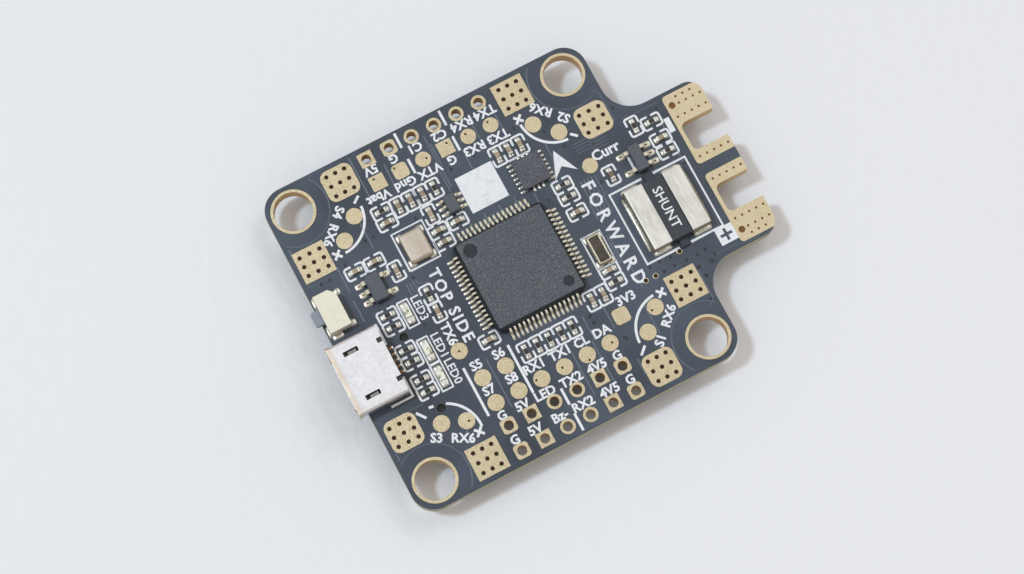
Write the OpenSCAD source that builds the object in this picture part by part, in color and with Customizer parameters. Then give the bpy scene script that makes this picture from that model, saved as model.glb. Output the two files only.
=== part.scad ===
// Flight controller board for a small multirotor.
// A 1.6 mm laminate carries a processor, a motion sensor, a micro-USB socket, a side-pressed
// button, a current shunt and the pads that every wire is soldered to.
// Frame: +X runs toward the battery tab, +Y is the flight direction, +Z is up.
// Origin: middle of the mounting-hole pattern, on the underside face of the laminate.

/* [Board] */
// Side of the square part of the board
board_side = 36; // [35.6:0.1:36.6]
// Thickness of the laminate
board_t = 1.6; // [1.2:0.1:2]
// Radius of the four outer corners
corner_r = 2.4; // [1.5:0.1:2.6]
// Distance from the middle of the board to the end of the battery tab
tab_reach = 27.05; // [26.6:0.05:27.6]
// Width of the battery tab
tab_w = 17.7; // [17.5:0.1:18]
// Radius of the fillets where the tab leaves the square
tab_fillet_r = 3.2; // [2:0.1:3.6]
// Thickness of bare plated copper
copper_t = 0.05; // [0.04:0.01:0.07]

/* [Mounting holes] */
// Distance between mounting holes
hole_pitch = 30.5; // [30.4:0.05:30.6]
// Finished diameter of a mounting hole, which takes a rubber grommet
hole_d = 4; // [3.8:0.1:4.1]
// Outer diameter of the gold ring round a mounting hole
hole_ring_d = 4.6; // [4.4:0.1:4.8]

/* [Wire holes] */
// Distance between neighbouring wire holes
wire_pitch = 2.54; // [2.5:0.01:2.58]
// Finished diameter of a wire hole
wire_hole_d = 1; // [0.9:0.05:1]
// Drilled diameter of a wire hole in the laminate, before it is plated
wire_drill_d = 1.15; // [1.1:0.05:1.2]
// Width of the pad round a wire hole
wire_pad_w = 1.55; // [1.5:0.05:1.7]

/* [Solder pads] */
// Side of a square motor supply pad
power_pad_w = 3.4; // [3.2:0.05:3.5]
// Diameter of a via hole in a motor supply pad
via_d = 0.45; // [0.35:0.05:0.5]
// Diameter of a round signal pad
signal_pad_d = 1.7; // [1.5:0.05:1.8]

/* [Processor] */
// Side of the moulded package
cpu_side = 10; // [9.8:0.1:10.1]
// Height of the moulded package
cpu_h = 1.4; // [1.2:0.1:1.6]
// Leads on each side
cpu_leads = 16; // [14:1:16]
// Span from lead tip to lead tip
cpu_span = 12; // [11.8:0.1:12.1]

/* [USB socket] */
// Width of the metal shell
usb_w = 7.5; // [7.3:0.1:7.7]
// Height of the metal shell
usb_h = 2.45; // [2.4:0.05:2.6]
// Thickness of the shell's sheet metal
usb_wall = 0.25; // [0.2:0.05:0.3]

/* [Boot button] */
// Travel of the plunger
button_travel = 0.2; // [0.15:0.05:0.25]
// Height of the button housing
button_h = 1.6; // [1.5:0.1:1.8]

/* [Current shunt] */
// Length and width of the shunt
shunt_side = 6.6; // [6.4:0.1:6.8]
// Height of the shunt's folded ends
shunt_h = 1.5; // [1.3:0.1:1.7]

/* [Underside] */
// Height of the shielded inductor, the tallest piece below the board
inductor_h = 2.4; // [2.2:0.1:2.5]
// Height of the memory-card socket
card_h = 1.45; // [1.4:0.05:1.7]

/* [Hidden] */
$fn = 48;
eps = 0.01;
half = board_side / 2;
hole_xy = hole_pitch / 2;
top = board_t;
FRONT_ROW_Y = 16.65;
BACK_ROWS_Y = [-13.85, -16.65];
ROW_X = [for (i = [0:5]) (i - 2.5) * wire_pitch];
// Pads of the front row and of both back rows, from -X to +X: 0 is square, 1 is rounded, 2 is round
FRONT_PADS = [0, 1, 2, 2, 2, 2];
BACK_PADS = [1, 0, 2, 2, 0, 1];
MASK = "#46505f";
GOLD = "#dfcda4";
TIN = "#c9cacb";
STEEL = "#d6d7da";
EPOXY = "#4b4d58";
CREAM = "#e8e4d6";
CERAMIC = "#b9a98c";
BLACK = "#2a2b2e";
WHITE = "#e9e7df";

// Battery fork pads: their edges on the +Y side; the -Y side is the mirror image
fork_x = 22.85;
fork_in = 0.6;
fork_out = 8.45;
notch_x = 23.25;
notch_y = [2.05, 5.15];
notch_r = 0.6;

// Places of the pieces on the board: [x, y]
CPU_AT = [1.95, -0.45];
GYRO_AT = [7.65, 7.8];
CRYSTAL_AT = [-6.05, 6.4];
CLOCK_AT = [9.85, -2.45];
REGULATOR_AT = [-11.5, 4.4];
SWITCH_AT = [-0.95, 8.5];
AMPLIFIER_AT = [17.75, 3.95];
SHUNT_AT = [17.75, -2];
USB_AT = [-18.35, -2.9];
BUTTON_AT = [-16.5, 4.2];
CARD_AT = [-8.2, -5.2];
INDUCTOR_AT = [9.2, 0.2];
BUCK_AT = [9.2, -7.2];
OSD_AT = [1.5, 7.6];
OSD_CRYSTAL_AT = [-6.2, 8.2];

// Small two-ended parts on the top face: [x, y, 1 if its long way is along Y]
TOP_CAPACITORS = concat(
    [for (i = [0:2]) [5.45 + 1.27 * i, 10.8, 1]],
    [for (i = [0:2]) [-5.75 + 1.35 * i, 10.8, 1]],
    [for (i = [0:1]) [6.8 + 1.3 * i, -6.65, 1]],
    [for (y = [6.75, 5.45]) [-3.35, y, 0]],
    [for (x = [-12.6, -10.45]) [x, 6.9, 0]],
    [[-7.5, 9.85, 0], [-3.3, 8.6, 1], [-1.2, 6.75, 0], [-8.95, 5.05, 1], [9.8, 1.95, 0]],
    [[9.8, -4.75, 0], [-4.05, -5.4, 0], [20.85, 4.8, 0], [14.6, 3.75, 1], [-7.25, -0.5, 1]]
);
TOP_RESISTORS = concat(
    [for (i = [0:4]) [-1.4 + 1.3 * i, -8.15, 1]],
    [for (y = [1.45, 0.15, -2.45, -3.8, -5.8, -7.1]) [-11.8, y, 0]],
    [for (y = [5.1, 3.75]) [9.8, y, 0]],
    [[-7.45, 11.15, 0], [-1.7, 10.8, 1], [9.8, -6.05, 0], [-7.25, 1.45, 1]],
    [[19.05, 7.15, 1], [20.85, 6.75, 0], [20.85, 3.35, 0]]
);
LEDS = [for (y = [0.75, -3.5, -6.4]) [-9.95, y, 1]];
// The same on the underside
UNDER_CAPACITORS = concat(
    [for (i = [0:3]) [-3.2 + 1.5 * i, 11.9, 1]],
    [for (i = [0:2]) [8.4 + 1.4 * i, 4.4, 1]]
);
UNDER_RESISTORS = concat(
    [for (i = [0:3]) [3.4 + 1.5 * i, 11.9, 1]],
    [for (i = [0:2]) [12.6 + 1.4 * i, 4.4, 1]]
);
BULK_CAPACITORS = [[14.2, 0.2, 1], [16.4, 0.2, 1], [3.6, 0.2, 1], [3.6, -6.2, 1]];

// Locating pegs of the memory-card socket
peg_x = -11.4;
peg_gap = 8;
peg_hole_d = 0.87;
peg_d = 0.78;

// ---- Shared outlines and placing ----

// A w by d outline with true round corners of radius r
module rounded_outline(w, d, r) {
    square([w - 2 * r, d], center = true);
    square([w, d - 2 * r], center = true);
    for (x = [-1, 1], y = [-1, 1])
        translate([x * (w / 2 - r), y * (d / 2 - r)]) circle(r, $fn = 32);
}

// A pad outline of width w in one of the three pad styles
module pad_outline(w, style) {
    if (style == 0) square(w, center = true);
    if (style == 1) rounded_outline(w, w, w * 0.24);
    if (style == 2) circle(d = w);
}

// Places children on the top face, turned by whole quarter turns
module on_top(at, turn = 0) {
    translate([at[0], at[1], top]) rotate([0, 0, turn]) children();
}

// Places children on the underside, hanging down
module on_underside(at, turn = 0) {
    translate([at[0], at[1], 0]) rotate([180, 0, turn]) children();
}

// Copies children to the four corners of a square pattern
module at_corners(xy) {
    for (x = [-1, 1], y = [-1, 1]) translate([x * xy, y * xy]) children();
}

// Lays a flat copper outline on the top face, or on both faces of the laminate
module top_face() {
    translate([0, 0, board_t]) linear_extrude(copper_t) children();
}

module both_faces() {
    top_face() children();
    translate([0, 0, -copper_t]) linear_extrude(copper_t) children();
}

// ---- Shared packages ----

// A moulded package l by w by h whose four sides lean in by draft above and below the
// middle band that the leads leave from
module drafted_block(l, w, h, draft, band) {
    intersection() {
        rotate([90, 0, 0])
            linear_extrude(w, center = true) drafted_profile(l, h, draft, band);
        rotate([90, 0, 90])
            linear_extrude(l, center = true) drafted_profile(w, h, draft, band);
    }
}

module drafted_profile(l, h, draft, band) {
    low = (h - band) / 2;
    high = (h + band) / 2;
    x = l / 2;
    polygon([
        [draft - x, 0], [-x, low], [-x, high], [draft - x, h],
        [x - draft, h], [x, high], [x, low], [x - draft, 0]
    ]);
}

// One gull-wing lead, from a package side at x = 0 out to x = reach
module gull_lead(reach, rise, w, t) {
    shoulder = 0.3 * reach;
    foot = 0.62 * reach;
    translate([0, w / 2, 0]) rotate([90, 0, 0]) linear_extrude(w) polygon([
        [0, rise - t / 2], [shoulder - t / 2, rise - t / 2], [foot - t, 0], [reach, 0],
        [reach, t], [foot, t], [shoulder + t / 2, rise + t / 2], [0, rise + t / 2]
    ]);
}

// Leads along the +X side of a package, in a row of n with one pitch
module lead_row(side, n, pitch, reach, rise, w, t) {
    for (i = [0:n - 1])
        translate([side, (i - (n - 1) / 2) * pitch, 0]) gull_lead(reach, rise, w, t);
}

// A small moulded package, long way along Y, held lift above the board by its leads
module leaded_body(l, w, h, lift, band) {
    translate([0, 0, lift]) drafted_block(w, l, h, 0.09, band);
}

// A two-ended chip part, long way along Y: only its middle, its ends or its film
module chip_middle(l, w, h, end) {
    translate([0, 0, 0.02 + (h - 0.04) / 2])
        cube([w - 0.04, l - 2 * end, h - 0.04], center = true);
}

module chip_ends(l, w, h, end) {
    for (y = [-1, 1]) translate([-w / 2, y * (l - end) / 2 - end / 2, 0]) cube([w, end, h]);
}

// Puts children at each [x, y, along] of a list, on one face
module each_on_top(places) {
    for (p = places) on_top(p, p[2] == 1 ? 0 : 90) children();
}

module each_on_underside(places) {
    for (p = places) on_underside(p, p[2] == 1 ? 0 : 90) children();
}

// ---- Laminate and its copper ----

// Right-hand end of the board: the tab, its fillets and the two open notches
module board_outline() {
    difference() {
        union() {
            rounded_outline(board_side, board_side, corner_r);
            tab_outline();
            for (side = [-1, 1]) tab_fillet(side);
        }
        for (side = [0, 1]) mirror([0, side]) notch_outline(copper_t);
    }
}

module tab_outline() {
    translate([(tab_reach + 10) / 2, 0]) rounded_outline(tab_reach - 10, tab_w, 1.6);
}

module tab_fillet(side) {
    translate([half, side * tab_w / 2]) scale([1, side]) difference() {
        translate([-eps, -eps]) square(tab_fillet_r + eps);
        translate([tab_fillet_r, tab_fillet_r]) circle(tab_fillet_r);
    }
}

// The notch that a battery lead lies in, open toward +X; grow widens it for its plating
module notch_outline(grow) {
    x0 = notch_x - grow;
    y0 = notch_y[0] - grow;
    y1 = notch_y[1] + grow;
    r = notch_r + grow;
    translate([x0 + r, y0]) square([tab_reach - x0 + 1, y1 - y0]);
    translate([x0, y0 + r]) square([r + eps, y1 - y0 - 2 * r]);
    for (y = [y0 + r, y1 - r]) translate([x0 + r, y]) circle(r);
}

module wire_holes_at() {
    for (i = [0:5], y = concat([FRONT_ROW_Y], BACK_ROWS_Y)) translate([ROW_X[i], y]) children();
}

module printed_circuit_board() {
    color(MASK) linear_extrude(board_t) difference() {
        board_outline();
        at_corners(hole_xy) circle(d = hole_d + 2 * copper_t);
        wire_holes_at() circle(d = wire_drill_d);
        for (side = [-1, 1]) translate([peg_x, CARD_AT[1] + side * peg_gap / 2]) circle(d = peg_hole_d);
    }
}

// A plated barrel, from the drilled hole in to its bore, with a flange on each face of the board
module eyelet(drill_d, bore_d) {
    translate([0, 0, -copper_t]) linear_extrude(board_t + 2 * copper_t)
        difference() {
            circle(d = drill_d);
            circle(d = bore_d);
        }
    both_faces() difference() {
        children();
        circle(d = drill_d);
    }
}

module plated_mounting_holes() {
    color(GOLD) at_corners(hole_xy) eyelet(hole_d + 2 * copper_t, hole_d)
        circle(d = hole_ring_d);
}

module plated_wire_holes() {
    color(GOLD) for (i = [0:5]) {
        translate([ROW_X[i], FRONT_ROW_Y]) eyelet(wire_drill_d, wire_hole_d)
            pad_outline(wire_pad_w, FRONT_PADS[i]);
        for (y = BACK_ROWS_Y) translate([ROW_X[i], y]) eyelet(wire_drill_d, wire_hole_d)
            pad_outline(wire_pad_w, BACK_PADS[i]);
    }
}

// A motor supply pad with its three by three vias
module power_pad(style, pitch_x, pitch_y) {
    both_faces() difference() {
        pad_outline(power_pad_w, style);
        for (i = [-1:1], j = [-1:1]) translate([i * pitch_x, j * pitch_y]) circle(d = via_d, $fn = 24);
    }
}

// Each corner has one sharp pad for plus and one rounded pad for minus
module motor_power_pads() {
    color(GOLD) for (x = [-1, 1], y = [-1, 1]) {
        translate([x * 9.75, y * 15.75]) power_pad(x * y < 0 ? 1 : 0, 1, 1.1);
        translate([x * 15.78, y * 9.68]) power_pad(x * y < 0 ? 0 : 1, 1.1, 1);
    }
}

// Signal pads stand on one face; the two by the card socket's peg are moved clear of it
CORNER_PADS = [
    [-10.1, 12], [-12.1, 10.2], [10.15, 12.05], [12.1, 10.15],
    [10.2, -12.05], [12.05, -10.15], [-9.8, -11.5], [-12.1, -10.6]
];

module signal_pads() {
    SIGNAL_X = [for (i = [0:5]) -6.4 + 2.55 * i];
    color(GOLD) top_face() {
        for (x = SIGNAL_X) translate([x, -11.25]) circle(d = signal_pad_d);
        for (i = [0:1]) translate([SIGNAL_X[i], -8.45]) circle(d = signal_pad_d);
        for (i = [0:5]) translate([SIGNAL_X[i], 14])
            pad_outline(1.6, [0, 1, 2, 0, 2, 2][i]);
        for (at = CORNER_PADS) translate(at) circle(d = signal_pad_d);
        translate([8.65, -9.35]) pad_outline(1.65, 1);
        translate([13.2, 5.6]) circle(d = 1.6);
        translate([-7.2, -5]) circle(d = signal_pad_d);
    }
}

// A battery pad on both faces, joined by the plated wall of its notch
module battery_pad() {
    both_faces() difference() {
        fork_outline();
        notch_outline(copper_t);
        translate([fork_x + 0.65, 7.25]) circle(d = 0.7, $fn = 32);
        for (i = [0:4]) {
            translate([24.25 + 0.8 * (i - 1), 5.95]) circle(d = 0.25, $fn = 16);
            translate([24.25 + 0.8 * (i - 1), 1.3]) circle(d = 0.25, $fn = 16);
        }
        for (i = [0:3]) translate([24.25 + 0.8 * i, 7.2]) circle(d = 0.25, $fn = 16);
        for (i = [0:2]) translate([24.25 + 0.8 * i, 7.95]) circle(d = 0.25, $fn = 16);
    }
    translate([0, 0, -copper_t]) linear_extrude(board_t + 2 * copper_t)
        intersection() {
            difference() {
                notch_outline(copper_t);
                notch_outline(0);
            }
            translate([0, -20]) square([tab_reach, 40]);
        }
}

module fork_outline() {
    intersection() {
        translate([(fork_x + 30) / 2, (fork_in + fork_out) / 2])
            rounded_outline(30 - fork_x, fork_out - fork_in, 0.4);
        board_outline_plain();
    }
}

// The board's outline without its notches
module board_outline_plain() {
    rounded_outline(board_side, board_side, corner_r);
    tab_outline();
}

module battery_minus_pad() {
    color(GOLD) battery_pad();
}

module battery_plus_pad() {
    color(GOLD) mirror([0, 1, 0]) battery_pad();
}

// ---- Processor ----

module processor_body() {
    lift = 0.1;
    color(EPOXY) on_top(CPU_AT) difference() {
        translate([0, 0, lift]) intersection() {
            drafted_block(cpu_side, cpu_side, cpu_h, 0.3, 0.16);
            rotate([0, 0, 45]) translate([0, 0, cpu_h / 2])
                cube([cpu_side * sqrt(2) - 0.5, cpu_side * sqrt(2) - 0.5, 4], center = true);
        }
        translate([-3.6, 3.6, lift + cpu_h - 0.06]) cylinder(r = 0.7, h = 1);
        translate([3.6, -3.6, lift + cpu_h - 0.06]) cylinder(r = 0.55, h = 1);
    }
}

module processor_leads() {
    reach = (cpu_span - cpu_side) / 2;
    color(TIN) on_top(CPU_AT) for (turn = [0:90:270])
        rotate([0, 0, turn])
            lead_row(cpu_side / 2, cpu_leads, 0.5, reach, 0.1 + cpu_h / 2, 0.22, 0.14);
}

// ---- Motion sensor ----

module motion_sensor_body() {
    color(EPOXY) on_top(GYRO_AT) translate([0, 0, 0.12]) difference() {
        translate([-1.5, -1.55, 0]) cube([3, 3.1, 0.75]);
        translate([-1.15, 1.2, 0.72]) cylinder(r = 0.16, h = 1, $fn = 24);
    }
}

module motion_sensor_terminals() {
    color(TIN) on_top(GYRO_AT) {
        for (side = [-1, 1], i = [-3:3])
            translate([side * 1.45 - 0.3, i * 0.5 - 0.12, 0]) cube([0.6, 0.24, 0.12]);
        for (side = [-1, 1], i = [-1:1])
            translate([i * 0.5 - 0.12, side * 1.5 - 0.3, 0]) cube([0.24, 0.6, 0.12]);
    }
}

// ---- Crystals ----

// A crystal can 2.5 by 3.2: ceramic tray with a welded metal lid
module can_base() {
    linear_extrude(0.55) difference() {
        rounded_outline(2.5, 3.2, 0.2);
        at_can_corners() circle(0.18, $fn = 24);
    }
}

module at_can_corners() {
    for (x = [-1, 1], y = [-1, 1]) translate([x * 1.25, y * 1.6]) children();
}

module can_lid() {
    translate([0, 0, 0.55]) linear_extrude(0.12) rounded_outline(2.3, 3, 0.2);
    translate([0, 0, 0.67]) linear_extrude(0.14) rounded_outline(2.05, 2.75, 0.15);
}

module crystal_bases() {
    color(CREAM) {
        on_top(CRYSTAL_AT) can_base();
        on_underside(OSD_CRYSTAL_AT) can_base();
    }
}

module crystal_lids() {
    color(CERAMIC) {
        on_top(CRYSTAL_AT) can_lid();
        on_underside(OSD_CRYSTAL_AT) can_lid();
    }
}

module clock_crystal_base() {
    color(CREAM) on_top(CLOCK_AT) linear_extrude(0.5) rounded_outline(1.5, 3.2, 0.12);
}

module clock_crystal_lid() {
    color(STEEL) on_top(CLOCK_AT) translate([0, 0, 0.5]) difference() {
        linear_extrude(0.25) rounded_outline(1.35, 3, 0.2);
        translate([0, 0, 0.17]) linear_extrude(1) rounded_outline(1.05, 2.7, 0.12);
    }
}

// ---- Small leaded packages ----

module sot_body(l, w, h) {
    leaded_body(l, w, h, 0.08, 0.14);
}

// Leads of a small package of width w: how many on the -X and +X sides, as row indexes
module sot_leads(w, h, rows_left, rows_right, pitch, reach, lead_w) {
    rise = 0.08 + h / 2;
    for (i = rows_right) translate([w / 2, i * pitch, 0]) gull_lead(reach, rise, lead_w, 0.13);
    for (i = rows_left)
        translate([-w / 2, i * pitch, 0]) rotate([0, 0, 180]) gull_lead(reach, rise, lead_w, 0.13);
}

module regulator_body() {
    color(BLACK) on_top(REGULATOR_AT) sot_body(2.9, 1.6, 1.05);
}

module regulator_leads() {
    color(TIN) on_top(REGULATOR_AT) sot_leads(1.6, 1.05, [-1, 0, 1], [-1, 1], 0.95, 0.95, 0.45);
}

module video_switch_body() {
    color(BLACK) on_top(SWITCH_AT) sot_body(2, 1.25, 0.9);
}

module video_switch_leads() {
    color(TIN) on_top(SWITCH_AT)
        sot_leads(1.25, 0.9, [-1, 0, 1], [-1, 0, 1], 0.65, 0.65, 0.25);
}

module current_amplifier_body() {
    color(BLACK) on_top(AMPLIFIER_AT) sot_body(2.9, 1.3, 1.05);
}

module current_amplifier_leads() {
    color(TIN) on_top(AMPLIFIER_AT)
        sot_leads(1.3, 1.05, [-1, 1], [-1, 0, 1], 0.95, 1.1, 0.4);
}

// ---- Current shunt ----

// The resistive strip runs under and between the two folded copper ends
module shunt_element() {
    color(BLACK) on_top(SHUNT_AT) {
        translate([-1.15, -shunt_side / 2, 0.15]) cube([2.3, shunt_side, shunt_h - 0.35]);
        translate([-0.45, -shunt_side / 2 - 0.9, 0.05]) cube([0.9, 0.9, 0.35]);
        translate([-0.45, shunt_side / 2, 0.05]) cube([0.9, 0.9, 0.35]);
    }
}

module shunt_terminals() {
    end_w = (shunt_side - 2.3) / 2;
    color(CERAMIC) on_top(SHUNT_AT) for (side = [0, 1]) mirror([side, 0, 0])
        translate([1.15, shunt_side / 2, 0]) rotate([90, 0, 0]) linear_extrude(shunt_side)
            shunt_end_profile(end_w, shunt_h, 0.3);
}

// Side view of one folded end, with the outer bend rounded
module shunt_end_profile(w, h, r) {
    square([w, h - r]);
    square([w - r, h]);
    translate([w - r, h - r]) circle(r);
}

// ---- Micro-USB socket ----

usb_l = 4.85;
lip_l = 0.6;
lip_flare = 0.1;
slot_y = 2.4;
slot_w = 0.5;
hook_y = 2.15;
hook_w = 0.5;
tongue_z = 1.28;
tongue_t = 0.5;
tongue_w = 3.7;
contact_t = 0.12;
contact_w = 0.3;
contact_pitch = 0.65;

// Section of the socket seen from its mouth, about its own middle: wide at the top, with
// long chamfers toward the board
module usb_section(inset) {
    w = usb_w / 2 - inset;
    h = usb_h / 2 - inset;
    narrow = usb_w / 2 - 1.05 - inset * 0.6;
    offset(r = 0.3, $fn = 32) offset(delta = -0.3) polygon([
        [-w, h], [w, h], [w, -0.1 + inset * 0.4],
        [narrow, -h], [-narrow, -h], [-w, -0.1 + inset * 0.4]
    ]);
}

// Turns a section drawn in Y and Z into a bar that runs along +X from the socket's mouth
module along_x(length) {
    translate([0, 0, usb_h / 2]) rotate([90, 0, 90]) linear_extrude(length) children();
}

// The lip at the mouth, spread by flare on every side over its length
module usb_lip(inset, flare, length) {
    spread = [1 + 2 * flare / usb_w, 1 + 2 * flare / usb_h];
    translate([0, 0, usb_h / 2]) rotate([90, 0, -90])
        linear_extrude(length, scale = spread, slices = 1) usb_section(inset);
}

module usb_shell() {
    color(STEEL) on_top(USB_AT) {
        difference() {
            along_x(usb_l) usb_section(0);
            translate([-eps, 0, 0]) along_x(usb_l + 1) usb_section(usb_wall);
            for (side = [-1, 1]) {
                translate([0.75, side * slot_y - slot_w / 2, usb_h - 0.6]) cube([1.6, slot_w, 1]);
                translate([usb_l - 0.55, side * hook_y - hook_w / 2, usb_h - 0.6]) cube([1, hook_w, 1]);
            }
            translate([3.6, -1.7, -1]) cube([2, 3.4, 1.4]);
        }
        difference() {
            usb_lip(0, lip_flare, lip_l);
            translate([eps, 0, 0]) usb_lip(usb_wall, lip_flare + 0.06, lip_l + 2 * eps);
        }
        usb_springs();
    }
}

// The sprung latch fingers, cut from the top of the shell and bent down into the slots
module usb_springs() {
    finger_w = slot_w - 0.12;
    for (side = [-1, 1])
        translate([0.75, side * slot_y + finger_w / 2, 0]) rotate([90, 0, 0])
            linear_extrude(finger_w) polygon([
                [0, usb_h - 0.2], [0.4, usb_h - 0.6], [1.4, usb_h - 0.5],
                [1.4, usb_h - 0.38], [0.48, usb_h - 0.46], [0, usb_h]
            ]);
}

// Side view of a contact: a blade under the tongue, a step behind it and a solder tail
module usb_contact_profile() {
    polygon([
        [1.6, tongue_z], [4.1, tongue_z], [4.7, contact_t], [5.4, contact_t],
        [5.4, 0], [4.6, 0], [4, tongue_z - contact_t], [1.6, tongue_z - contact_t]
    ]);
}

module usb_contacts() {
    color(GOLD) on_top(USB_AT) for (i = [-2:2])
        translate([0, i * contact_pitch + contact_w / 2, 0]) rotate([90, 0, 0])
            linear_extrude(contact_w) usb_contact_profile();
}

// The tongue, and the block that closes the back of the shell over the contacts' tails
module usb_insulator() {
    color(BLACK) difference() {
        on_top(USB_AT) {
            translate([1.4, -tongue_w / 2, tongue_z]) cube([2.7, tongue_w, tongue_t]);
            translate([3.6, 0, 0]) along_x(1.2) usb_section(usb_wall);
            for (side = [-1, 1]) translate([usb_l - 0.45, side * hook_y - hook_w / 2 + 0.1, usb_h - 0.6])
                cube([0.4, hook_w - 0.2, 0.52]);
        }
        usb_contacts();
        on_top(USB_AT) translate([3.95, -1.65, -eps]) cube([1, 3.3, tongue_z - 0.1]);
    }
}

// ---- Boot button, pressed from the edge of the board ----

button_w = 4.1;
button_d = 2.3;
stem_w = 1.55;
stem_z = [0.45, 1.2];
flange_w = 2.3;
chamber_d = 0.82;

module boot_button_housing() {
    color(CREAM) on_top(BUTTON_AT) difference() {
        linear_extrude(button_h) polygon([
            [-button_d / 2, -button_w / 2], [button_d / 2, -button_w / 2],
            [button_d / 2, button_w / 2 - 0.65], [button_d / 2 - 0.65, button_w / 2],
            [-button_d / 2, button_w / 2]
        ]);
        translate([-button_d / 2 + 0.35, -flange_w / 2 - 0.1, 0.25])
            cube([chamber_d, flange_w + 0.2, 1.1]);
        translate([-button_d / 2 - 1, -stem_w / 2 - 0.05, stem_z[0] - 0.05])
            cube([2, stem_w + 0.1, stem_z[1] - stem_z[0] + 0.1]);
    }
}

// A stem that the finger pushes, with a flange that the housing keeps in
module boot_button_plunger() {
    color("#8a95a5") on_top(BUTTON_AT) {
        translate([-button_d / 2 - 0.95, 0, stem_z[0]])
            linear_extrude(stem_z[1] - stem_z[0]) polygon([
                [0, -stem_w / 2 + 0.12], [0.15, -stem_w / 2], [1.35, -stem_w / 2],
                [1.35, stem_w / 2], [0.15, stem_w / 2], [0, stem_w / 2 - 0.12]
            ]);
        translate([-button_d / 2 + 0.4, -flange_w / 2, 0.3]) cube([0.3, flange_w, 1]);
    }
}

// The snap dome that returns the plunger, drawn at its pressed height, rim on the back wall
module boot_button_dome() {
    crest = 0.72 + button_travel;
    rim = 0.35 + chamber_d;
    color(STEEL) on_top(BUTTON_AT) translate([-button_d / 2, 0, 0.8]) rotate([0, 90, 0])
        rotate_extrude() polygon([
            [0, crest], [0.25, crest], [0.52, rim - 0.07],
            [0.52, rim], [0.25, crest + 0.07], [0, crest + 0.07]
        ]);
}

// Two tabs in front, two feet behind and an angle bracket at the end nearer the socket
module boot_button_terminals() {
    plate = 0.12;
    color(TIN) on_top(BUTTON_AT) {
        for (side = [-1, 1]) {
            translate([-button_d / 2 - plate, side * 1.6 - 0.45, 0]) cube([plate, 0.9, 0.9]);
            translate([button_d / 2, side * 1.75 - 0.2, 0]) cube([0.45, 0.4, plate]);
        }
        translate([-button_d / 2 + 0.1, -button_w / 2 - plate, 0]) cube([1, plate, 0.8]);
        translate([-button_d / 2 + 0.1, -button_w / 2 - 0.42, 0]) cube([1, 0.42 - plate, plate]);
    }
}

// ---- Indicator lights ----

module led_bases() {
    color(WHITE) each_on_top(LEDS) {
        translate([-0.4, -0.8, 0]) cube([0.8, 1.6, 0.25]);
    }
}

module led_lenses() {
    color("#f1f0dc") each_on_top(LEDS) {
        translate([0, 0, 0.25]) drafted_lens(0.8, 1.05, 0.35, 0.06);
    }
}

// A lens with leaning sides, widest at its foot
module drafted_lens(w, l, h, draft) {
    intersection() {
        rotate([90, 0, 0]) linear_extrude(l, center = true)
            polygon([[-w / 2, 0], [w / 2, 0], [w / 2 - draft, h], [draft - w / 2, h]]);
        rotate([90, 0, 90]) linear_extrude(w, center = true)
            polygon([[-l / 2, 0], [l / 2, 0], [l / 2 - draft, h], [draft - l / 2, h]]);
    }
}

// ---- Chip capacitors and resistors ----

chip_l = 1;
chip_w = 0.52;
chip_end = 0.24;
cap_h = 0.5;
res_h = 0.32;

module capacitor_bodies() {
    color(CERAMIC) {
        each_on_top(TOP_CAPACITORS) chip_middle(chip_l, chip_w, cap_h, chip_end);
        each_on_underside(UNDER_CAPACITORS) chip_middle(chip_l, chip_w, cap_h, chip_end);
    }
}

module capacitor_terminals() {
    color(TIN) {
        each_on_top(TOP_CAPACITORS) chip_ends(chip_l, chip_w, cap_h, chip_end);
        each_on_underside(UNDER_CAPACITORS) chip_ends(chip_l, chip_w, cap_h, chip_end);
    }
}

module resistor_bodies() {
    color(WHITE) {
        each_on_top(TOP_RESISTORS) chip_middle(chip_l, chip_w, res_h, chip_end);
        each_on_underside(UNDER_RESISTORS) chip_middle(chip_l, chip_w, res_h, chip_end);
    }
}

// The dark film and its overcoat, on the upper side of the ceramic
module resistor_film() {
    translate([-chip_w / 2 + 0.04, -chip_l / 2 + chip_end, res_h - 0.02])
        cube([chip_w - 0.08, chip_l - 2 * chip_end, 0.05]);
}

module resistor_films() {
    color(BLACK) {
        each_on_top(TOP_RESISTORS) resistor_film();
        each_on_underside(UNDER_RESISTORS) resistor_film();
    }
}

module resistor_terminals() {
    color(TIN) {
        each_on_top(TOP_RESISTORS) chip_ends(chip_l, chip_w, res_h, chip_end);
        each_on_underside(UNDER_RESISTORS) chip_ends(chip_l, chip_w, res_h, chip_end);
    }
}

bulk_l = 3.2;
bulk_w = 1.6;
bulk_h = 1.3;
bulk_end = 0.5;

module bulk_capacitor_bodies() {
    color(CERAMIC) each_on_underside(BULK_CAPACITORS)
        chip_middle(bulk_l, bulk_w, bulk_h, bulk_end);
}

module bulk_capacitor_terminals() {
    color(TIN) each_on_underside(BULK_CAPACITORS) chip_ends(bulk_l, bulk_w, bulk_h, bulk_end);
}

// ---- Memory-card socket, under the board, open toward the -X edge ----

card_l = 11.4;
card_w = 12;
card_wall = 0.2;
card_slot_w = 11.1;
card_slot_h = 0.8;
card_pitch = 1.1;

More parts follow.
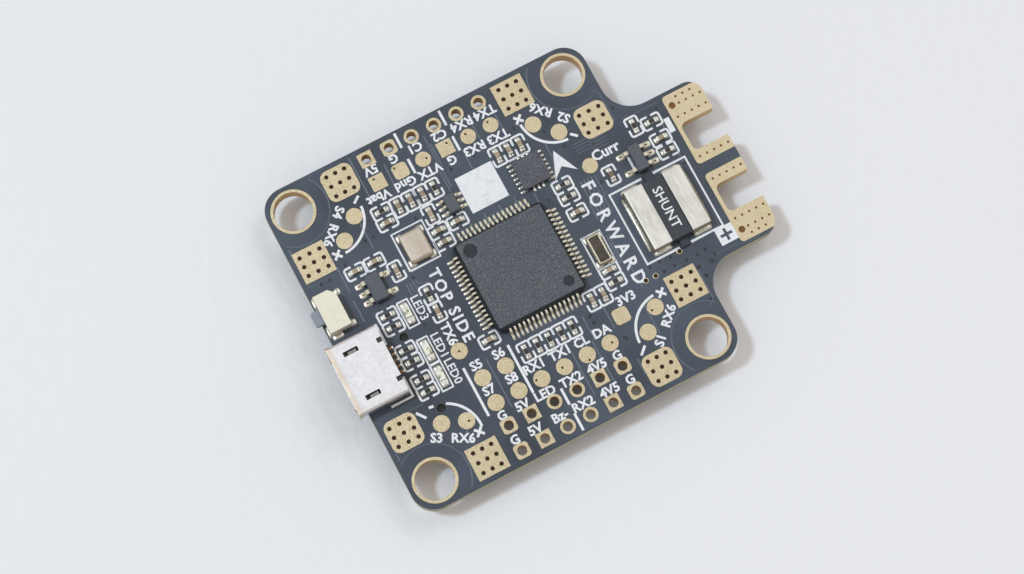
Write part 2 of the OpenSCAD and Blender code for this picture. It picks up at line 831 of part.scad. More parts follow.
// Stamped cover: a lid and two side walls, with a finger scoop, a sprung tongue and tabs
module card_socket_shell() {
    lid_cut = card_h - 0.5;
    color(STEEL) on_underside(CARD_AT) difference() {
        translate([-card_l / 2, -card_w / 2, 0]) cube([card_l, card_w, card_h]);
        translate([-card_l, -card_w / 2 + card_wall, -1])
            cube([2 * card_l, card_w - 2 * card_wall, card_h - card_wall + 1]);
        translate([-card_l / 2, 0, lid_cut]) cylinder(r = 3, h = 1);
        for (side = [-1, 1]) translate([-1, side * 3 - 0.2, lid_cut]) cube([4.6, 0.4, 1]);
        translate([3.6, -3.2, lid_cut]) cube([0.5, 6.4, 1]);
        for (side = [-1, 1], x = [-3.6, 2.6])
            translate([x, side * card_w / 2 - 0.5, -1]) cube([1.6, 1, 1.45]);
    }
}

// Moulded tray: a floor and side rails that guide the card, and a rear block for the contacts
module card_socket_base() {
    inner_w = card_w - 2 * card_wall;
    rail_w = (inner_w - card_slot_w) / 2;
    inner_h = card_h - card_wall;
    tray_l = card_l - 0.6;
    color(BLACK) difference() {
        on_underside(CARD_AT) translate([-tray_l / 2, 0, 0]) {
            for (side = [0, 1]) mirror([0, side, 0])
                translate([0, card_slot_w / 2, 0]) cube([tray_l, rail_w, inner_h]);
            translate([0, -inner_w / 2, 0]) cube([tray_l, inner_w, inner_h - card_slot_h]);
            translate([tray_l - 1.2, -inner_w / 2, 0]) cube([1.2, inner_w, inner_h]);
        }
        card_socket_contacts();
    }
    color(BLACK) for (side = [-1, 1])
        translate([peg_x, CARD_AT[1] + side * peg_gap / 2, 0]) cylinder(d = peg_d, h = 1.2);
}

// Eight sprung contacts: a tail at the rear and a finger that stands up into the card's way
module card_socket_contacts() {
    color(GOLD) on_underside(CARD_AT) for (i = [0:7])
        translate([0, (i - 3.5) * card_pitch + 0.2, 0]) rotate([90, 0, 0]) linear_extrude(0.4)
            polygon([
                [-0.6, 0.9], [0, 0.8], [2.6, 0.12], [6.2, 0.12],
                [6.2, 0], [2.5, 0], [0, 0.66], [-0.6, 0.76]
            ]);
}

// ---- Video overlay chip, supply converter and inductor, under the board ----

module video_overlay_body() {
    color(BLACK) on_underside(OSD_AT, 90) leaded_body(9.7, 4.4, 1, 0.1, 0.14);
}

module video_overlay_leads() {
    color(TIN) on_underside(OSD_AT, 90) for (turn = [0, 180])
        rotate([0, 0, turn]) lead_row(2.2, 14, 0.65, 1, 0.6, 0.24, 0.13);
}

module buck_converter_body() {
    color(BLACK) on_underside(BUCK_AT, 90) difference() {
        leaded_body(4.9, 3.9, 1.4, 0.1, 0.2);
        translate([-1.3, 1.7, 1.45]) cylinder(r = 0.35, h = 1);
    }
}

module buck_converter_leads() {
    color(TIN) on_underside(BUCK_AT, 90) for (turn = [0, 180])
        rotate([0, 0, turn]) lead_row(1.95, 4, 1.27, 1.05, 0.8, 0.42, 0.2);
}

inductor_side = 5.2;

module inductor_core() {
    r = 0.6;
    color("#6d6f73") on_underside(INDUCTOR_AT) difference() {
        translate([0, 0, 0.15]) linear_extrude(inductor_h - 0.15)
            rounded_outline(inductor_side, inductor_side, r);
        for (side = [-1, 1]) translate([side * inductor_side / 2 - 0.15, -0.9, 0.15])
            cube([0.3, 1.8, 1]);
    }
}

module inductor_terminals() {
    color(TIN) on_underside(INDUCTOR_AT) for (side = [0, 1]) mirror([side, 0, 0]) {
        translate([inductor_side / 2 - 1.5, -0.9, 0]) cube([1.5, 1.8, 0.15]);
        translate([inductor_side / 2 - 0.15, -0.9, 0.15]) cube([0.15, 1.8, 1]);
    }
}

plated_wire_holes();
plated_mounting_holes();
printed_circuit_board();
motor_power_pads();
signal_pads();
battery_plus_pad();
battery_minus_pad();
processor_body();
processor_leads();
motion_sensor_body();
motion_sensor_terminals();
crystal_bases();
crystal_lids();
clock_crystal_base();
clock_crystal_lid();
regulator_body();
regulator_leads();
video_switch_body();
video_switch_leads();
current_amplifier_body();
current_amplifier_leads();
shunt_element();
shunt_terminals();
usb_shell();
usb_insulator();
usb_contacts();
boot_button_housing();
boot_button_plunger();
boot_button_dome();
boot_button_terminals();
led_bases();
led_lenses();
capacitor_bodies();
capacitor_terminals();
resistor_bodies();
resistor_films();
resistor_terminals();
bulk_capacitor_bodies();
bulk_capacitor_terminals();
card_socket_shell();
card_socket_base();
card_socket_contacts();
video_overlay_body();
video_overlay_leads();
buck_converter_body();
buck_converter_leads();
inductor_core();
inductor_terminals();
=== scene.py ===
import math

import bmesh
import bpy
from mathutils import Matrix, Vector


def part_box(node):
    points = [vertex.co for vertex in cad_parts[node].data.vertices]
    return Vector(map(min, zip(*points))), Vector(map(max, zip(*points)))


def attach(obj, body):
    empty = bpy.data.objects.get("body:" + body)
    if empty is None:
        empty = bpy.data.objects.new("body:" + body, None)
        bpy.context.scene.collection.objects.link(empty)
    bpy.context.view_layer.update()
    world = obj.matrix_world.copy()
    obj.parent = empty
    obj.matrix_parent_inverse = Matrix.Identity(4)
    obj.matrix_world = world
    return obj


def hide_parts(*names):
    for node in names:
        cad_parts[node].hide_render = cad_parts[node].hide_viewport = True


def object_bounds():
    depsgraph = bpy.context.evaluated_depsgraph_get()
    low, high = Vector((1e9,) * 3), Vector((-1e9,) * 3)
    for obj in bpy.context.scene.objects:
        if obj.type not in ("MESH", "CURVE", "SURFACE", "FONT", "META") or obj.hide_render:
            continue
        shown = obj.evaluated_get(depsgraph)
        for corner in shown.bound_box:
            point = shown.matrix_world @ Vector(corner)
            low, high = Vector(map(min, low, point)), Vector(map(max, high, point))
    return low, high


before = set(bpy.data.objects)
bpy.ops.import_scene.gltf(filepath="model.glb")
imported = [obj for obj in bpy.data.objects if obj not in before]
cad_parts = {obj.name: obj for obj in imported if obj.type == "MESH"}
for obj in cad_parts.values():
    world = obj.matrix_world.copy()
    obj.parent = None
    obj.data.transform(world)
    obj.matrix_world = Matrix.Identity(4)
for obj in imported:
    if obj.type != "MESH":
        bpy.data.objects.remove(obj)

cad_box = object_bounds()

# ---- Camera ----
# The board is looked down on from a little past its left front corner, through a long lens, with its
# battery tab pointing up and to the right.
camera_data = bpy.data.cameras.new("camera")
camera_data.lens = 87.89
camera_data.sensor_width = 36
camera_data.clip_start = 0.01
camera = bpy.data.objects.new("camera", camera_data)
bpy.context.collection.objects.link(camera)
camera_right = Vector((0.88299, -0.46926, 0.01130))
camera_up = Vector((0.45699, 0.86490, 0.20761))
camera_back = camera_right.cross(camera_up).normalized()
camera_turn = Matrix((camera_right.normalized(), camera_up.normalized(), camera_back)).transposed()
camera.matrix_world = Matrix.Translation((-0.02617, -0.04594, 0.24436)) @ camera_turn.to_4x4()
bpy.context.scene.camera = camera
bpy.context.scene.view_settings.view_transform = "Standard"

# ---- Light ----
# A cool window lamp shines from far up on the left and throws a fairly crisp shadow to the right. A pale,
# warmer room fills the shadows, and a weak softbox brightens the right of the table.
room = bpy.data.worlds.new("room")
room.use_nodes = True
room_light = room.node_tree.nodes["Background"]
room_light.inputs["Color"].default_value = (1.0, 0.92, 0.83, 1.0)
room_light.inputs["Strength"].default_value = 0.6
bpy.context.scene.world = room


def softbox(name, at, size, power, colour):
    """A square lamp at a place in metres that shines on the board."""
    lamp = bpy.data.lights.new(name, "AREA")
    lamp.shape = "SQUARE"
    lamp.size = size
    lamp.energy = power
    lamp.color = colour
    lamp_object = bpy.data.objects.new(name, lamp)
    bpy.context.collection.objects.link(lamp_object)
    aim = Vector(at).to_track_quat("Z", "Y").to_matrix().to_4x4()
    lamp_object.matrix_world = Matrix.Translation(at) @ aim


softbox("window_softbox", (-0.75, 0.43, 1.72), 0.22, 14.0, (0.77, 0.9, 1.0))
softbox("ceiling_softbox", (0.5, 0.2, 0.85), 0.5, 1.5, (0.92, 0.96, 1.0))

# ---- Table ----
# A white painted table top with a faint tooth in the paint. The board stands on the tallest parts under
# it, so the table lies at the lowest level of the part.


class Signal:
    """One output of a finish's nodes, which is added, multiplied and compared like a number."""

    def __init__(self, tree, socket):
        self.tree = tree
        self.socket = socket

    def node(self, kind, settings, inputs, output=0):
        """Any node: its type, its settings, what goes into its sockets, and which output to read."""
        made = self.tree.nodes.new(kind)
        for name, value in settings.items():
            setattr(made, name, value)
        for name, value in inputs.items():
            if isinstance(value, Signal):
                self.tree.links.new(value.socket, made.inputs[name])
            else:
                made.inputs[name].default_value = value
        return Signal(self.tree, made.outputs[output])

    def math(self, operation, first, second=0.0):
        return self.node("ShaderNodeMath", {"operation": operation}, {0: first, 1: second})

    def __add__(self, other):
        return self.math("ADD", self, other)

    def __sub__(self, other):
        return self.math("SUBTRACT", self, other)

    def __rsub__(self, other):
        return self.math("SUBTRACT", other, self)

    def __mul__(self, other):
        return self.math("MULTIPLY", self, other)

    def __abs__(self):
        return self.math("ABSOLUTE", self)

    def __gt__(self, other):
        return self.math("GREATER_THAN", self, other)

    def __lt__(self, other):
        return self.math("LESS_THAN", self, other)

    def between(self, low, high):
        """Runs from 0 at low to 1 at high and stays there."""
        return self.node("ShaderNodeMapRange", {"clamp": True}, {0: self, 1: low, 2: high, 3: 0.0, 4: 1.0})

    def tint(self, plain, marked):
        """The first colour where this is 0 and the second where it is 1."""
        settings = {"data_type": "RGBA", "clamp_factor": True}
        return self.node("ShaderNodeMix", settings, {0: self, 6: plain, 7: marked}, 2)

    def grain(self, scale, detail=2.0, stretch=(1, 1, 1)):
        """Cloudy noise read at this place, drawn out along the axes where stretch is small."""
        drawn = self.node("ShaderNodeVectorMath", {"operation": "MULTIPLY"}, {0: self, 1: stretch})
        return self.node("ShaderNodeTexNoise", {}, {"Vector": drawn, "Scale": scale, "Detail": detail})

    def axis(self, letter):
        """One coordinate of this place, in metres."""
        return self.node("ShaderNodeSeparateXYZ", {}, {"Vector": self}, "XYZ".index(letter))


def paint(red, green, blue):
    """A colour as a paint card gives it, from 0 to 255, turned into light."""
    steps = [c / 255 for c in (red, green, blue)]
    return tuple(((c + 0.055) / 1.055) ** 2.4 if c > 0.04 else c / 12.92 for c in steps) + (1.0,)


def new_finish(name, metal=0.0, **steady):
    """An empty finish with its steady sockets set: the material and the place that its patterns read."""
    material = bpy.data.materials.new(name)
    material.use_nodes = True
    shader = material.node_tree.nodes["Principled BSDF"]
    shader.inputs["Metallic"].default_value = metal
    for socket, value in steady.items():
        shader.inputs[socket.replace("_", " ")].default_value = value
    place = material.node_tree.nodes.new("ShaderNodeTexCoord")
    return material, Signal(material.node_tree, place.outputs["Object"])


def lay_finish(material, colour, rough, height, depth):
    """Joins colour, roughness and relief to a finish. Depth is the relief's full height in metres."""
    tree = material.node_tree
    shader = tree.nodes["Principled BSDF"]
    tree.links.new(colour.socket, shader.inputs["Base Color"])
    tree.links.new(rough.socket, shader.inputs["Roughness"])
    relief = height.node("ShaderNodeBump", {}, {"Height": height, "Distance": depth, "Strength": 1.0})
    tree.links.new(relief.socket, shader.inputs["Normal"])
    return material


table_paint, place = new_finish("table_paint")
tooth = place.grain(900, 3.0, (1, 0.45, 1))
cloud = place.grain(9, 2.0)
table_white = cloud.tint(paint(228, 230, 236), paint(236, 238, 243))
lay_finish(table_paint, table_white, tooth * 0.2 + 0.5, tooth, 0.00009)
table_width = 3
hair_gap = 0.00001
bpy.ops.mesh.primitive_plane_add(size=table_width, location=(0, 0, 0))
table = bpy.context.active_object
table.name = "table_top"
table.data.transform(Matrix.Translation((0, 0, cad_box[0][2] - hair_gap)))
table.data.materials.append(table_paint)

# ---- Laminate ----
# The board itself: pressed layers of glass cloth and resin, routed to shape, with dark slate solder mask
# printed on both faces. Its cut edge shows the pale resin.
mask, place = new_finish("slate_solder_mask", Specular_IOR_Level=0.55)
board_thick = 0.0016
mask_coat = 0.00003
height = place.axis("Z")
cut_edge = (height > mask_coat) * (height < board_thick - mask_coat)
weave = place.grain(1500, 1.0, (1, 0.25, 1)) * 0.5 + place.grain(1500, 1.0, (0.25, 1, 1)) * 0.5
drift = place.grain(110, 4.0).between(0.32, 0.68)
layers = place.grain(900, 2.0, (0.5, 0.5, 9))
slate = drift.tint(paint(39, 49, 62), paint(65, 78, 95))
resin = layers.tint(paint(128, 124, 98), paint(190, 186, 154))
mask_rough = place.grain(5000, 2.0) * 0.12 + 0.34 + cut_edge * 0.3
lay_finish(mask, cut_edge.tint(slate, resin), mask_rough, weave + drift, 0.000012)
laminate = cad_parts["printed_circuit_board"]
laminate.data.materials[0] = mask

MM = 0.001
BOARD_TOP = 1.6


def alone(piece):
    """Only this piece is picked, so that the next tool works on nothing else."""
    bpy.ops.object.select_all(action="DESELECT")
    piece.select_set(True)
    bpy.context.view_layer.objects.active = piece


def seat(piece, name, finish, body="board"):
    """A piece drawn in millimetres becomes part of the board: its name, its finish and what it rides on."""
    piece.data.transform(Matrix.Scale(MM, 4))
    piece.name = name
    piece.data.name = name
    piece.data.materials.clear()
    piece.data.materials.append(finish)
    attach(piece, body)
    return piece


def drawn_line(strokes, width, rise, level):
    """Flat ribbons with soft edges along strokes of (x, y) points, rise high over a face at level.

    Neighbouring strokes lie at slightly different heights, so that strokes that cross share no face.
    """
    path = bpy.data.curves.new("line", "CURVE")
    path.dimensions = "3D"
    path.bevel_depth = width / 2
    path.bevel_resolution = 1
    path.use_fill_caps = True
    for index, stroke in enumerate(strokes):
        spline = path.splines.new("POLY")
        spline.points.add(len(stroke) - 1)
        for point, (x, y) in zip(spline.points, stroke):
            point.co = (x, y, 0.005 * (index % 5), 1)
    line = bpy.data.objects.new("line", path)
    bpy.context.collection.objects.link(line)
    alone(line)
    bpy.ops.object.convert(target="MESH")
    line = bpy.context.active_object
    line.data.transform(Matrix.Translation((0, 0, level)) @ Matrix.Diagonal((1, 1, 2 * rise / width, 1)))
    bpy.ops.object.shade_smooth_by_angle(angle=math.radians(40))
    return line


# ---- Buried copper traces ----
# Copper tracks and the edges of the copper planes, etched under the solder mask, which stands up over
# them by a few hundredths of a millimetre.
trace_mask, place = new_finish("mask_over_copper", Specular_IOR_Level=0.55)
drift = place.grain(160, 3.0)
over_copper = drift.tint(paint(66, 76, 92), paint(92, 102, 116))
lay_finish(trace_mask, over_copper, place.grain(5000, 2.0) * 0.1 + 0.33, drift, 0.000004)


def ring_stroke(x, y, radius, start, stop, step=10):
    """Points of an arc round (x, y), by angle in degrees."""
    count = max(2, round(abs(stop - start) / step))
    angles = [math.radians(start + (stop - start) * i / count) for i in range(count + 1)]
    return [(x + radius * math.cos(a), y + radius * math.sin(a)) for a in angles]


tracks = [
    [(-5.0, 15.4), (-5.1, 12.2)], [(-7.85, 17.6), (-7.8, 12.4)],
    [(-0.15, 16.2), (-0.15, 12.9), (-0.4, 12.6), (-0.4, 9.8)],
    [(0.1, 15.1), (0.1, 12.7), (-0.1, 12.4), (-0.1, 10.1)], [(2.65, 12.4), (2.65, 10.8)],
    [(4.75, 15.5), (4.75, 12.4)], [(7.28, 14.8), (7.28, 12.4)], [(10.3, 9.8), (10.3, 7.0)],
    [(6.9, 5.75), (6.9, 4.5)], [(5.1, 5.75), (5.1, 4.5)], [(7.5, -7.8), (7.5, -10.1)],
    [(5.2, -7.6), (5.2, -10.0), (4.9, -10.4), (4.9, -15.0)], [(2.55, -10.2), (2.55, -15.1)],
    [(11.9, -4.9), (11.9, -7.9)], [(11.2, -9.5), (11.2, -12.7)], [(11.25, -1.5), (11.15, -4.7)],
    [(8.0, -13.9), (8.0, -15.6)], [(11.5, -1.5), (11.4, -4.7)], [(-9.9, 11.6), (-9.9, 8.2)],
    [(-14.0, 8.1), (-14.0, 5.2)], [(-14.1, 4.4), (-14.1, 2.0)], [(17.6, 8.6), (17.6, 11.9), (16.9, 12.6)],
    [(17.6, -8.9), (17.6, -11.9), (16.9, -12.6)], [(21.7, 6.6), (21.7, 1.6)], [(22.3, 8.3), (19.6, 8.3)],
    [(22.3, -8.3), (20.0, -8.3)], [(-10.2, -11.8), (-10.2, -14.6)],
    [(-17.4, 12.0), (-17.4, 7.6), (-14.4, 7.6)], [(-17.4, -12.0), (-17.4, -8.0), (-12.8, -8.0)],
    [(-5.2, -6.9), (-5.2, -12.4)],
]
for i in range(5):
    x = 11.3 + 0.4 * i
    tracks.append([(x + 0.25, 4.6), (x + 0.25, 2.4), (x, 2.1), (x, 0.4)])
for i in range(4):
    x = -8.7 + 0.35 * i
    y = 1.8 + 0.3 * i
    tracks.append([(x, 3.4), (x, y + 0.4), (x + 0.4, y), (-6.6, y)])
    tracks.append([(-0.2 + 1.7 * i, 6.3), (-0.2 + 1.7 * i, 4.8)])
    y = 7.9 - 0.35 * i
    tracks.append([(12.6, y + 0.4), (14.2, y + 0.4), (14.6, y), (16.0, y)])
mount_rings = []
for x in (-15.25, 15.25):
    for y in (-15.25, 15.25):
        inward = math.degrees(math.atan2(-y, -x))
        mount_rings.append(ring_stroke(x, y, 3.65, inward - 84, inward + 84, 8))
mask_rise = 0.014
seat(drawn_line(tracks + mount_rings, 0.13, mask_rise, BOARD_TOP), "buried_traces", trace_mask)

under_tracks = []
for i in range(8):
    y = -9.0 + 1.1 * i
    under_tracks.append([(-2.1, y), (0.4, y), (1.4, y + 1.0), (1.4, y + 5.0)])
    under_tracks.append([(-6.4 + 2.2 * i, 12.8), (-6.4 + 2.2 * i, 14.4), (-5.6 + 2.0 * i, 15.3)])
seat(drawn_line(under_tracks + mount_rings, 0.2, mask_rise, 0), "buried_traces_below", trace_mask)

# ---- Gold-plated copper ----
# Bare copper pads and plated holes with a thin coat of gold. The eighteen wire holes, four mounting
# holes, eight motor pads and the two battery forks are etched from the same sheet and plated together.
gold, place = new_finish("satin_gold_plate")
plate_lip = 0.00008
height = place.axis("Z")
barrel = (height > plate_lip) * (height < board_thick - plate_lip)
cloud = place.grain(420, 3.0)
pits = place.grain(6500, 2.0).between(0.36, 0.66)
plate = (cloud * 0.5 + pits * 0.5).tint(paint(186, 172, 140), paint(211, 198, 170))
# The barrel walls are painted lighter and warmer than the pads, a painted reflection, and are made less
# metallic.
barrel_painted_reflection = cloud.tint(paint(190, 148, 92), paint(228, 192, 134))
lay_finish(gold, barrel.tint(plate, barrel_painted_reflection), pits * 0.16 + 0.34, pits + cloud, 0.000005)
gold_shader = gold.node_tree.nodes["Principled BSDF"]
gold.node_tree.links.new((1.0 - barrel * 0.45).socket, gold_shader.inputs["Metallic"])


def eased(node, edge, finish, bends=2, body="board", smooth=32):
    """A copy of a CAD piece with its sharp edges broken by edge millimetres, shown in its place."""
    piece = bpy.data.objects.new(node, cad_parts[node].data.copy())
    bpy.context.collection.objects.link(piece)
    piece.data.transform(Matrix.Scale(1 / MM, 4))
    alone(piece)
    bpy.ops.object.mode_set(mode="EDIT")
    bpy.ops.mesh.select_all(action="SELECT")
    bpy.ops.mesh.remove_doubles(threshold=0.0005)
    bpy.ops.mesh.dissolve_limited(angle_limit=math.radians(0.5))
    bpy.ops.object.mode_set(mode="OBJECT")
    rounding = piece.modifiers.new("broken_edges", "BEVEL")
    rounding.width = edge
    rounding.segments = bends
    rounding.limit_method = "ANGLE"
    rounding.angle_limit = math.radians(36)
    bpy.ops.object.modifier_apply(modifier="broken_edges")
    bpy.ops.object.shade_smooth_by_angle(angle=math.radians(smooth))
    flatten = piece.modifiers.new("flat_faces_stay_flat", "WEIGHTED_NORMAL")
    flatten.keep_sharp = True
    bpy.ops.object.modifier_apply(modifier="flat_faces_stay_flat")
    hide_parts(node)
    return seat(piece, "eased_" + node, finish, body)


gold_edges = {
    "plated_mounting_holes": 0.045, "plated_wire_holes": 0.018, "motor_power_pads": 0.015, "signal_pads": 0.02,
    "battery_plus_pad": 0.015, "battery_minus_pad": 0.015,
}
for node, edge in gold_edges.items():
    eased(node, edge, gold)

# ---- Vias ----
# Plated holes of a few tenths of a millimetre that join the layers. In the pads they are open and look
# dark; elsewhere the mask covers them and leaves a dimple.
# Each open via is covered by a disc of painted shade, near black and browner on the battery tab.
painted_hole_shade, place = new_finish("open_via_painted_shade", Specular_IOR_Level=0.2)
hole_shade_mottle = place.grain(3000, 2.0)
on_tab = place.axis("X").between(0.0205, 0.0225)
painted_through_shade = hole_shade_mottle.tint(paint(40, 30, 20), paint(66, 50, 32))
filled = hole_shade_mottle.tint(paint(96, 66, 32), paint(140, 102, 58))
painted_via_shade = on_tab.tint(painted_through_shade, filled)
lay_finish(painted_hole_shade, painted_via_shade, hole_shade_mottle * 0.2 + 0.6, hole_shade_mottle, 0.00001)


def copies(pattern, places):
    """Joins one copy of a pattern for each matrix, each with its own mesh, into one piece."""
    made = []
    for matrix in places:
        copy = pattern.copy()
        copy.data = pattern.data.copy()
        copy.data.transform(matrix)
        bpy.context.collection.objects.link(copy)
        made.append(copy)
    bpy.data.objects.remove(pattern)
    bpy.ops.object.select_all(action="DESELECT")
    for copy in made:
        copy.select_set(True)
    bpy.context.view_layer.objects.active = made[0]
    bpy.ops.object.join()
    return bpy.context.active_object


def dished_disc(radius, depth, rise):
    """A small round dish with a raised rim, made once for all the vias of one kind."""
    bpy.ops.object.select_all(action="DESELECT")
    bpy.ops.mesh.primitive_circle_add(vertices=14, radius=radius, fill_type="NGON", location=(0, 0, 0))
    disc = bpy.context.active_object
    bpy.ops.object.mode_set(mode="EDIT")
    bpy.ops.mesh.select_all(action="SELECT")
    bpy.ops.mesh.inset(thickness=radius * 0.3)
    bpy.ops.transform.translate(value=(0, 0, rise))
    bpy.ops.mesh.inset(thickness=radius * 0.22)
    bpy.ops.transform.translate(value=(0, 0, -depth))
    bpy.ops.mesh.inset(thickness=radius * 0.2)
    bpy.ops.object.mode_set(mode="OBJECT")
    bpy.ops.object.shade_smooth_by_angle(angle=math.radians(50))
    return disc


def on_face(x, y, turn=0.0, underneath=False, lift=0.0, scale=(1, 1, 1)):
    """The matrix that sets a piece drawn at the origin on the board's top face, or hangs it underneath."""
    sized = Matrix.Diagonal((scale[0], scale[1], scale[2], 1))
    spun = Matrix.Rotation(math.radians(turn), 4, "Z") @ sized
    if underneath:
        return Matrix.Translation((x, y, -lift)) @ Matrix.Rotation(math.pi, 4, "X") @ spun
    return Matrix.Translation((x, y, BOARD_TOP + lift)) @ spun


motor_via = 0.235
fork_mark = 0.37
fork_via = 0.14
pad_holes = []
for sx in (-1, 1):
    for sy in (-1, 1):
        for i in (-1, 0, 1):
            for j in (-1, 0, 1):
                pad_holes.append((sx * 9.75 + i, sy * 15.75 + 1.1 * j, motor_via))
                pad_holes.append((sx * 15.78 + 1.1 * i, sy * 9.68 + j, motor_via))
for side in (-1, 1):
    pad_holes.append((23.5, side * 7.25, fork_mark))
    pad_holes += [(24.25 + 0.8 * (i - 1), side * y, fork_via) for i in range(5) for y in (5.95, 1.3)]
    pad_holes += [(24.25 + 0.8 * i, side * 7.2, fork_via) for i in range(4)]
    pad_holes += [(24.25 + 0.8 * i, side * 7.95, fork_via) for i in range(3)]
open_vias = [on_face(x, y, 0, below, 0.004, (r, r, 1)) for x, y, r in pad_holes for below in (False, True)]
seat(copies(dished_disc(1, 0.004, 0.001), open_vias), "via_holes", painted_hole_shade)

via_spots = [
    (-16.2, 7.35), (-15.25, 7.35), (-10.3, 9.25), (-9.4, 9.25), (-12.3, 2.2), (-11.35, 2.2), (-9.05, -1.05),
    (-7.8, 3.7), (5.95, -7.9), (5.95, -8.75), (8.0, -11.6), (7.8, 4.35), (14.55, 7.45), (18.05, 9.85),
    (11.85, 8.6), (17.75, -8.6), (19.4, -8.7), (18.05, -9.7), (-8.3, 12.2), (8.2, 12.6), (3.4, 12.0),
    (-13.2, 8.0), (16.6, -7.9), (-8.6, -2.3), (13.4, 3.6), (21.9, 7.7), (21.7, 1.4), (-16.4, -8.2),
    (13.5, -6.35), (14.6, -6.3), (15.8, -6.35), (14.55, -7.4), (15.75, -7.35), (17.05, -7.4), (18.3, -7.4),
    (19.25, -7.3), (17.9, -8.6), (19.2, -8.6), (18.1, -9.7), (19.85, -8.2), (5.85, -8.7), (7.85, -11.4),
    (0.7, 11.75), (10.75, 10.85), (-5.6, 10.55), (-4.8, 8.95), (11.8, 10.0), (5.75, -8.0), (17.3, -12.0),
]
sunk = (0.19, 0.19, 1)
covered = [on_face(x, y, 0, False, 0.001, sunk) for x, y in via_spots]
covered += [on_face(x * 0.93, -y * 0.97, 0, True, 0.001, sunk) for x, y in via_spots if x > 2]
via_mask, place = new_finish("mask_sunk_in_vias", Specular_IOR_Level=0.5)
pooled = place.grain(900)
lay_finish(via_mask, pooled.tint(paint(24, 29, 38), paint(38, 45, 57)), pooled * 0.2 + 0.25, pooled, 0.00001)
seat(copies(dished_disc(1, 0.012, 0.02), covered), "covered_vias", via_mask)
lone_vias = ((16.9, -6.3), (13.6, -7.4), (12.5, -7.37))
rings = [on_face(x, y, 0, False, 0.002, (0.3, 0.3, 1)) for x, y in lone_vias]
seat(copies(dished_disc(1, 0.004, 0.02), rings), "lone_via_rings", gold)
# The open middle of each lone via is a disc of painted shade.
mouths = [on_face(x, y, 0, False, 0.026, (0.23, 0.23, 1)) for x, y in lone_vias]
seat(copies(dished_disc(1, 0.003, 0.001), mouths), "lone_via_mouths", painted_hole_shade)

# The small pits in the signal pads are dark discs of painted shade.
pad_dimples = [
    (-1.85, -11.15), (1.0, -11.25), (3.75, -11.8), (6.55, -11.3), (11.6, -10.3), (-9.6, -11.6),
    (-7.22, -5.03), (-6.65, 14.45), (-4.3, 14.5), (-0.95, 13.95), (1.55, 14.4), (3.65, 14.35), (6.2, 14.4),
]
dimples = [on_face(x, y, 0, False, 0.055, (0.12, 0.12, 1)) for x, y in pad_dimples]
seat(copies(dished_disc(1, 0.002, 0.001), dimples), "pad_dimples", painted_hole_shade)

# ---- Printed legend ----
# White epoxy ink, screen-printed over the mask: an outline round every small part, an arrow to the front
# and a short name beside every pad.
ink, place = new_finish("white_legend_ink", Specular_IOR_Level=0.3)
thin = place.grain(2200, 3.0)
ink_white = thin.between(0.2, 0.5).tint(paint(212, 216, 225), paint(232, 235, 241))
lay_finish(ink, ink_white, thin * 0.2 + 0.55, thin, 0.000008)


def loose_parts(node):
    """The middle and the size of each loose part of a CAD node, in millimetres."""
    shape = bmesh.new()
    shape.from_mesh(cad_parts[node].data)
    bmesh.ops.remove_doubles(shape, verts=shape.verts, dist=1e-7)
    waiting = set(shape.verts)
    found = []
    while waiting:
        island = [waiting.pop()]
        for vertex in island:
            for edge in vertex.link_edges:
                other = edge.other_vert(vertex)
                if other in waiting:
                    waiting.remove(other)
                    island.append(other)
        low = Vector([min(v.co[k] for v in island) for k in range(3)]) / MM
        high = Vector([max(v.co[k] for v in island) for k in range(3)]) / MM
        found.append(((low + high) / 2, high - low))
    shape.free()
    return sorted(found, key=lambda part: tuple(part[0]))


def chip_places(body_node, end_node):
    """Each two-ended chip as (middle, direction of its long axis), found from its body and its ends."""
    ends = loose_parts(end_node)
    chips = []
    for middle, size in loose_parts(body_node):
        nearest = min(ends, key=lambda end: (end[0] - middle).length)
        chips.append((middle, (nearest[0] - middle).xy.normalized()))
    return chips


def bracket(middle, along, length, width, gap, curve=0.3):
    """The two U-shaped strokes that frame a two-ended part, open in the middle of its long sides."""
    across = Vector((-along.y, along.x))
    outline = []
    for side in (-1, 1):
        corner = length / 2 - curve
        arc = ring_stroke(corner, width / 2 - curve, curve, 90, 0, 30)
        half = [(gap / 2, width / 2)] + arc
        u_shape = half + [(x, -y) for x, y in reversed(half)]
        outline.append([tuple(middle.xy + along * (side * x) + across * y) for x, y in u_shape])
    return outline


chips = chip_places("capacitor_bodies", "capacitor_terminals")
chips += chip_places("resistor_bodies", "resistor_terminals")
top_strokes = []
under_strokes = []
for middle, along in chips:
    (top_strokes if middle.z > 1 else under_strokes).extend(bracket(middle, along, 2.0, 1.3, 0.42, 0.22))
for middle, along in chip_places("bulk_capacitor_bodies", "bulk_capacitor_terminals"):
    under_strokes += bracket(middle, along, 4.6, 2.2, 0.9, 0.3)


def frame_stroke(x0, y0, x1, y1):
    """A closed rectangular outline."""
    return [(x0, y0), (x1, y0), (x1, y1), (x0, y1), (x0, y0 - 0.001)]


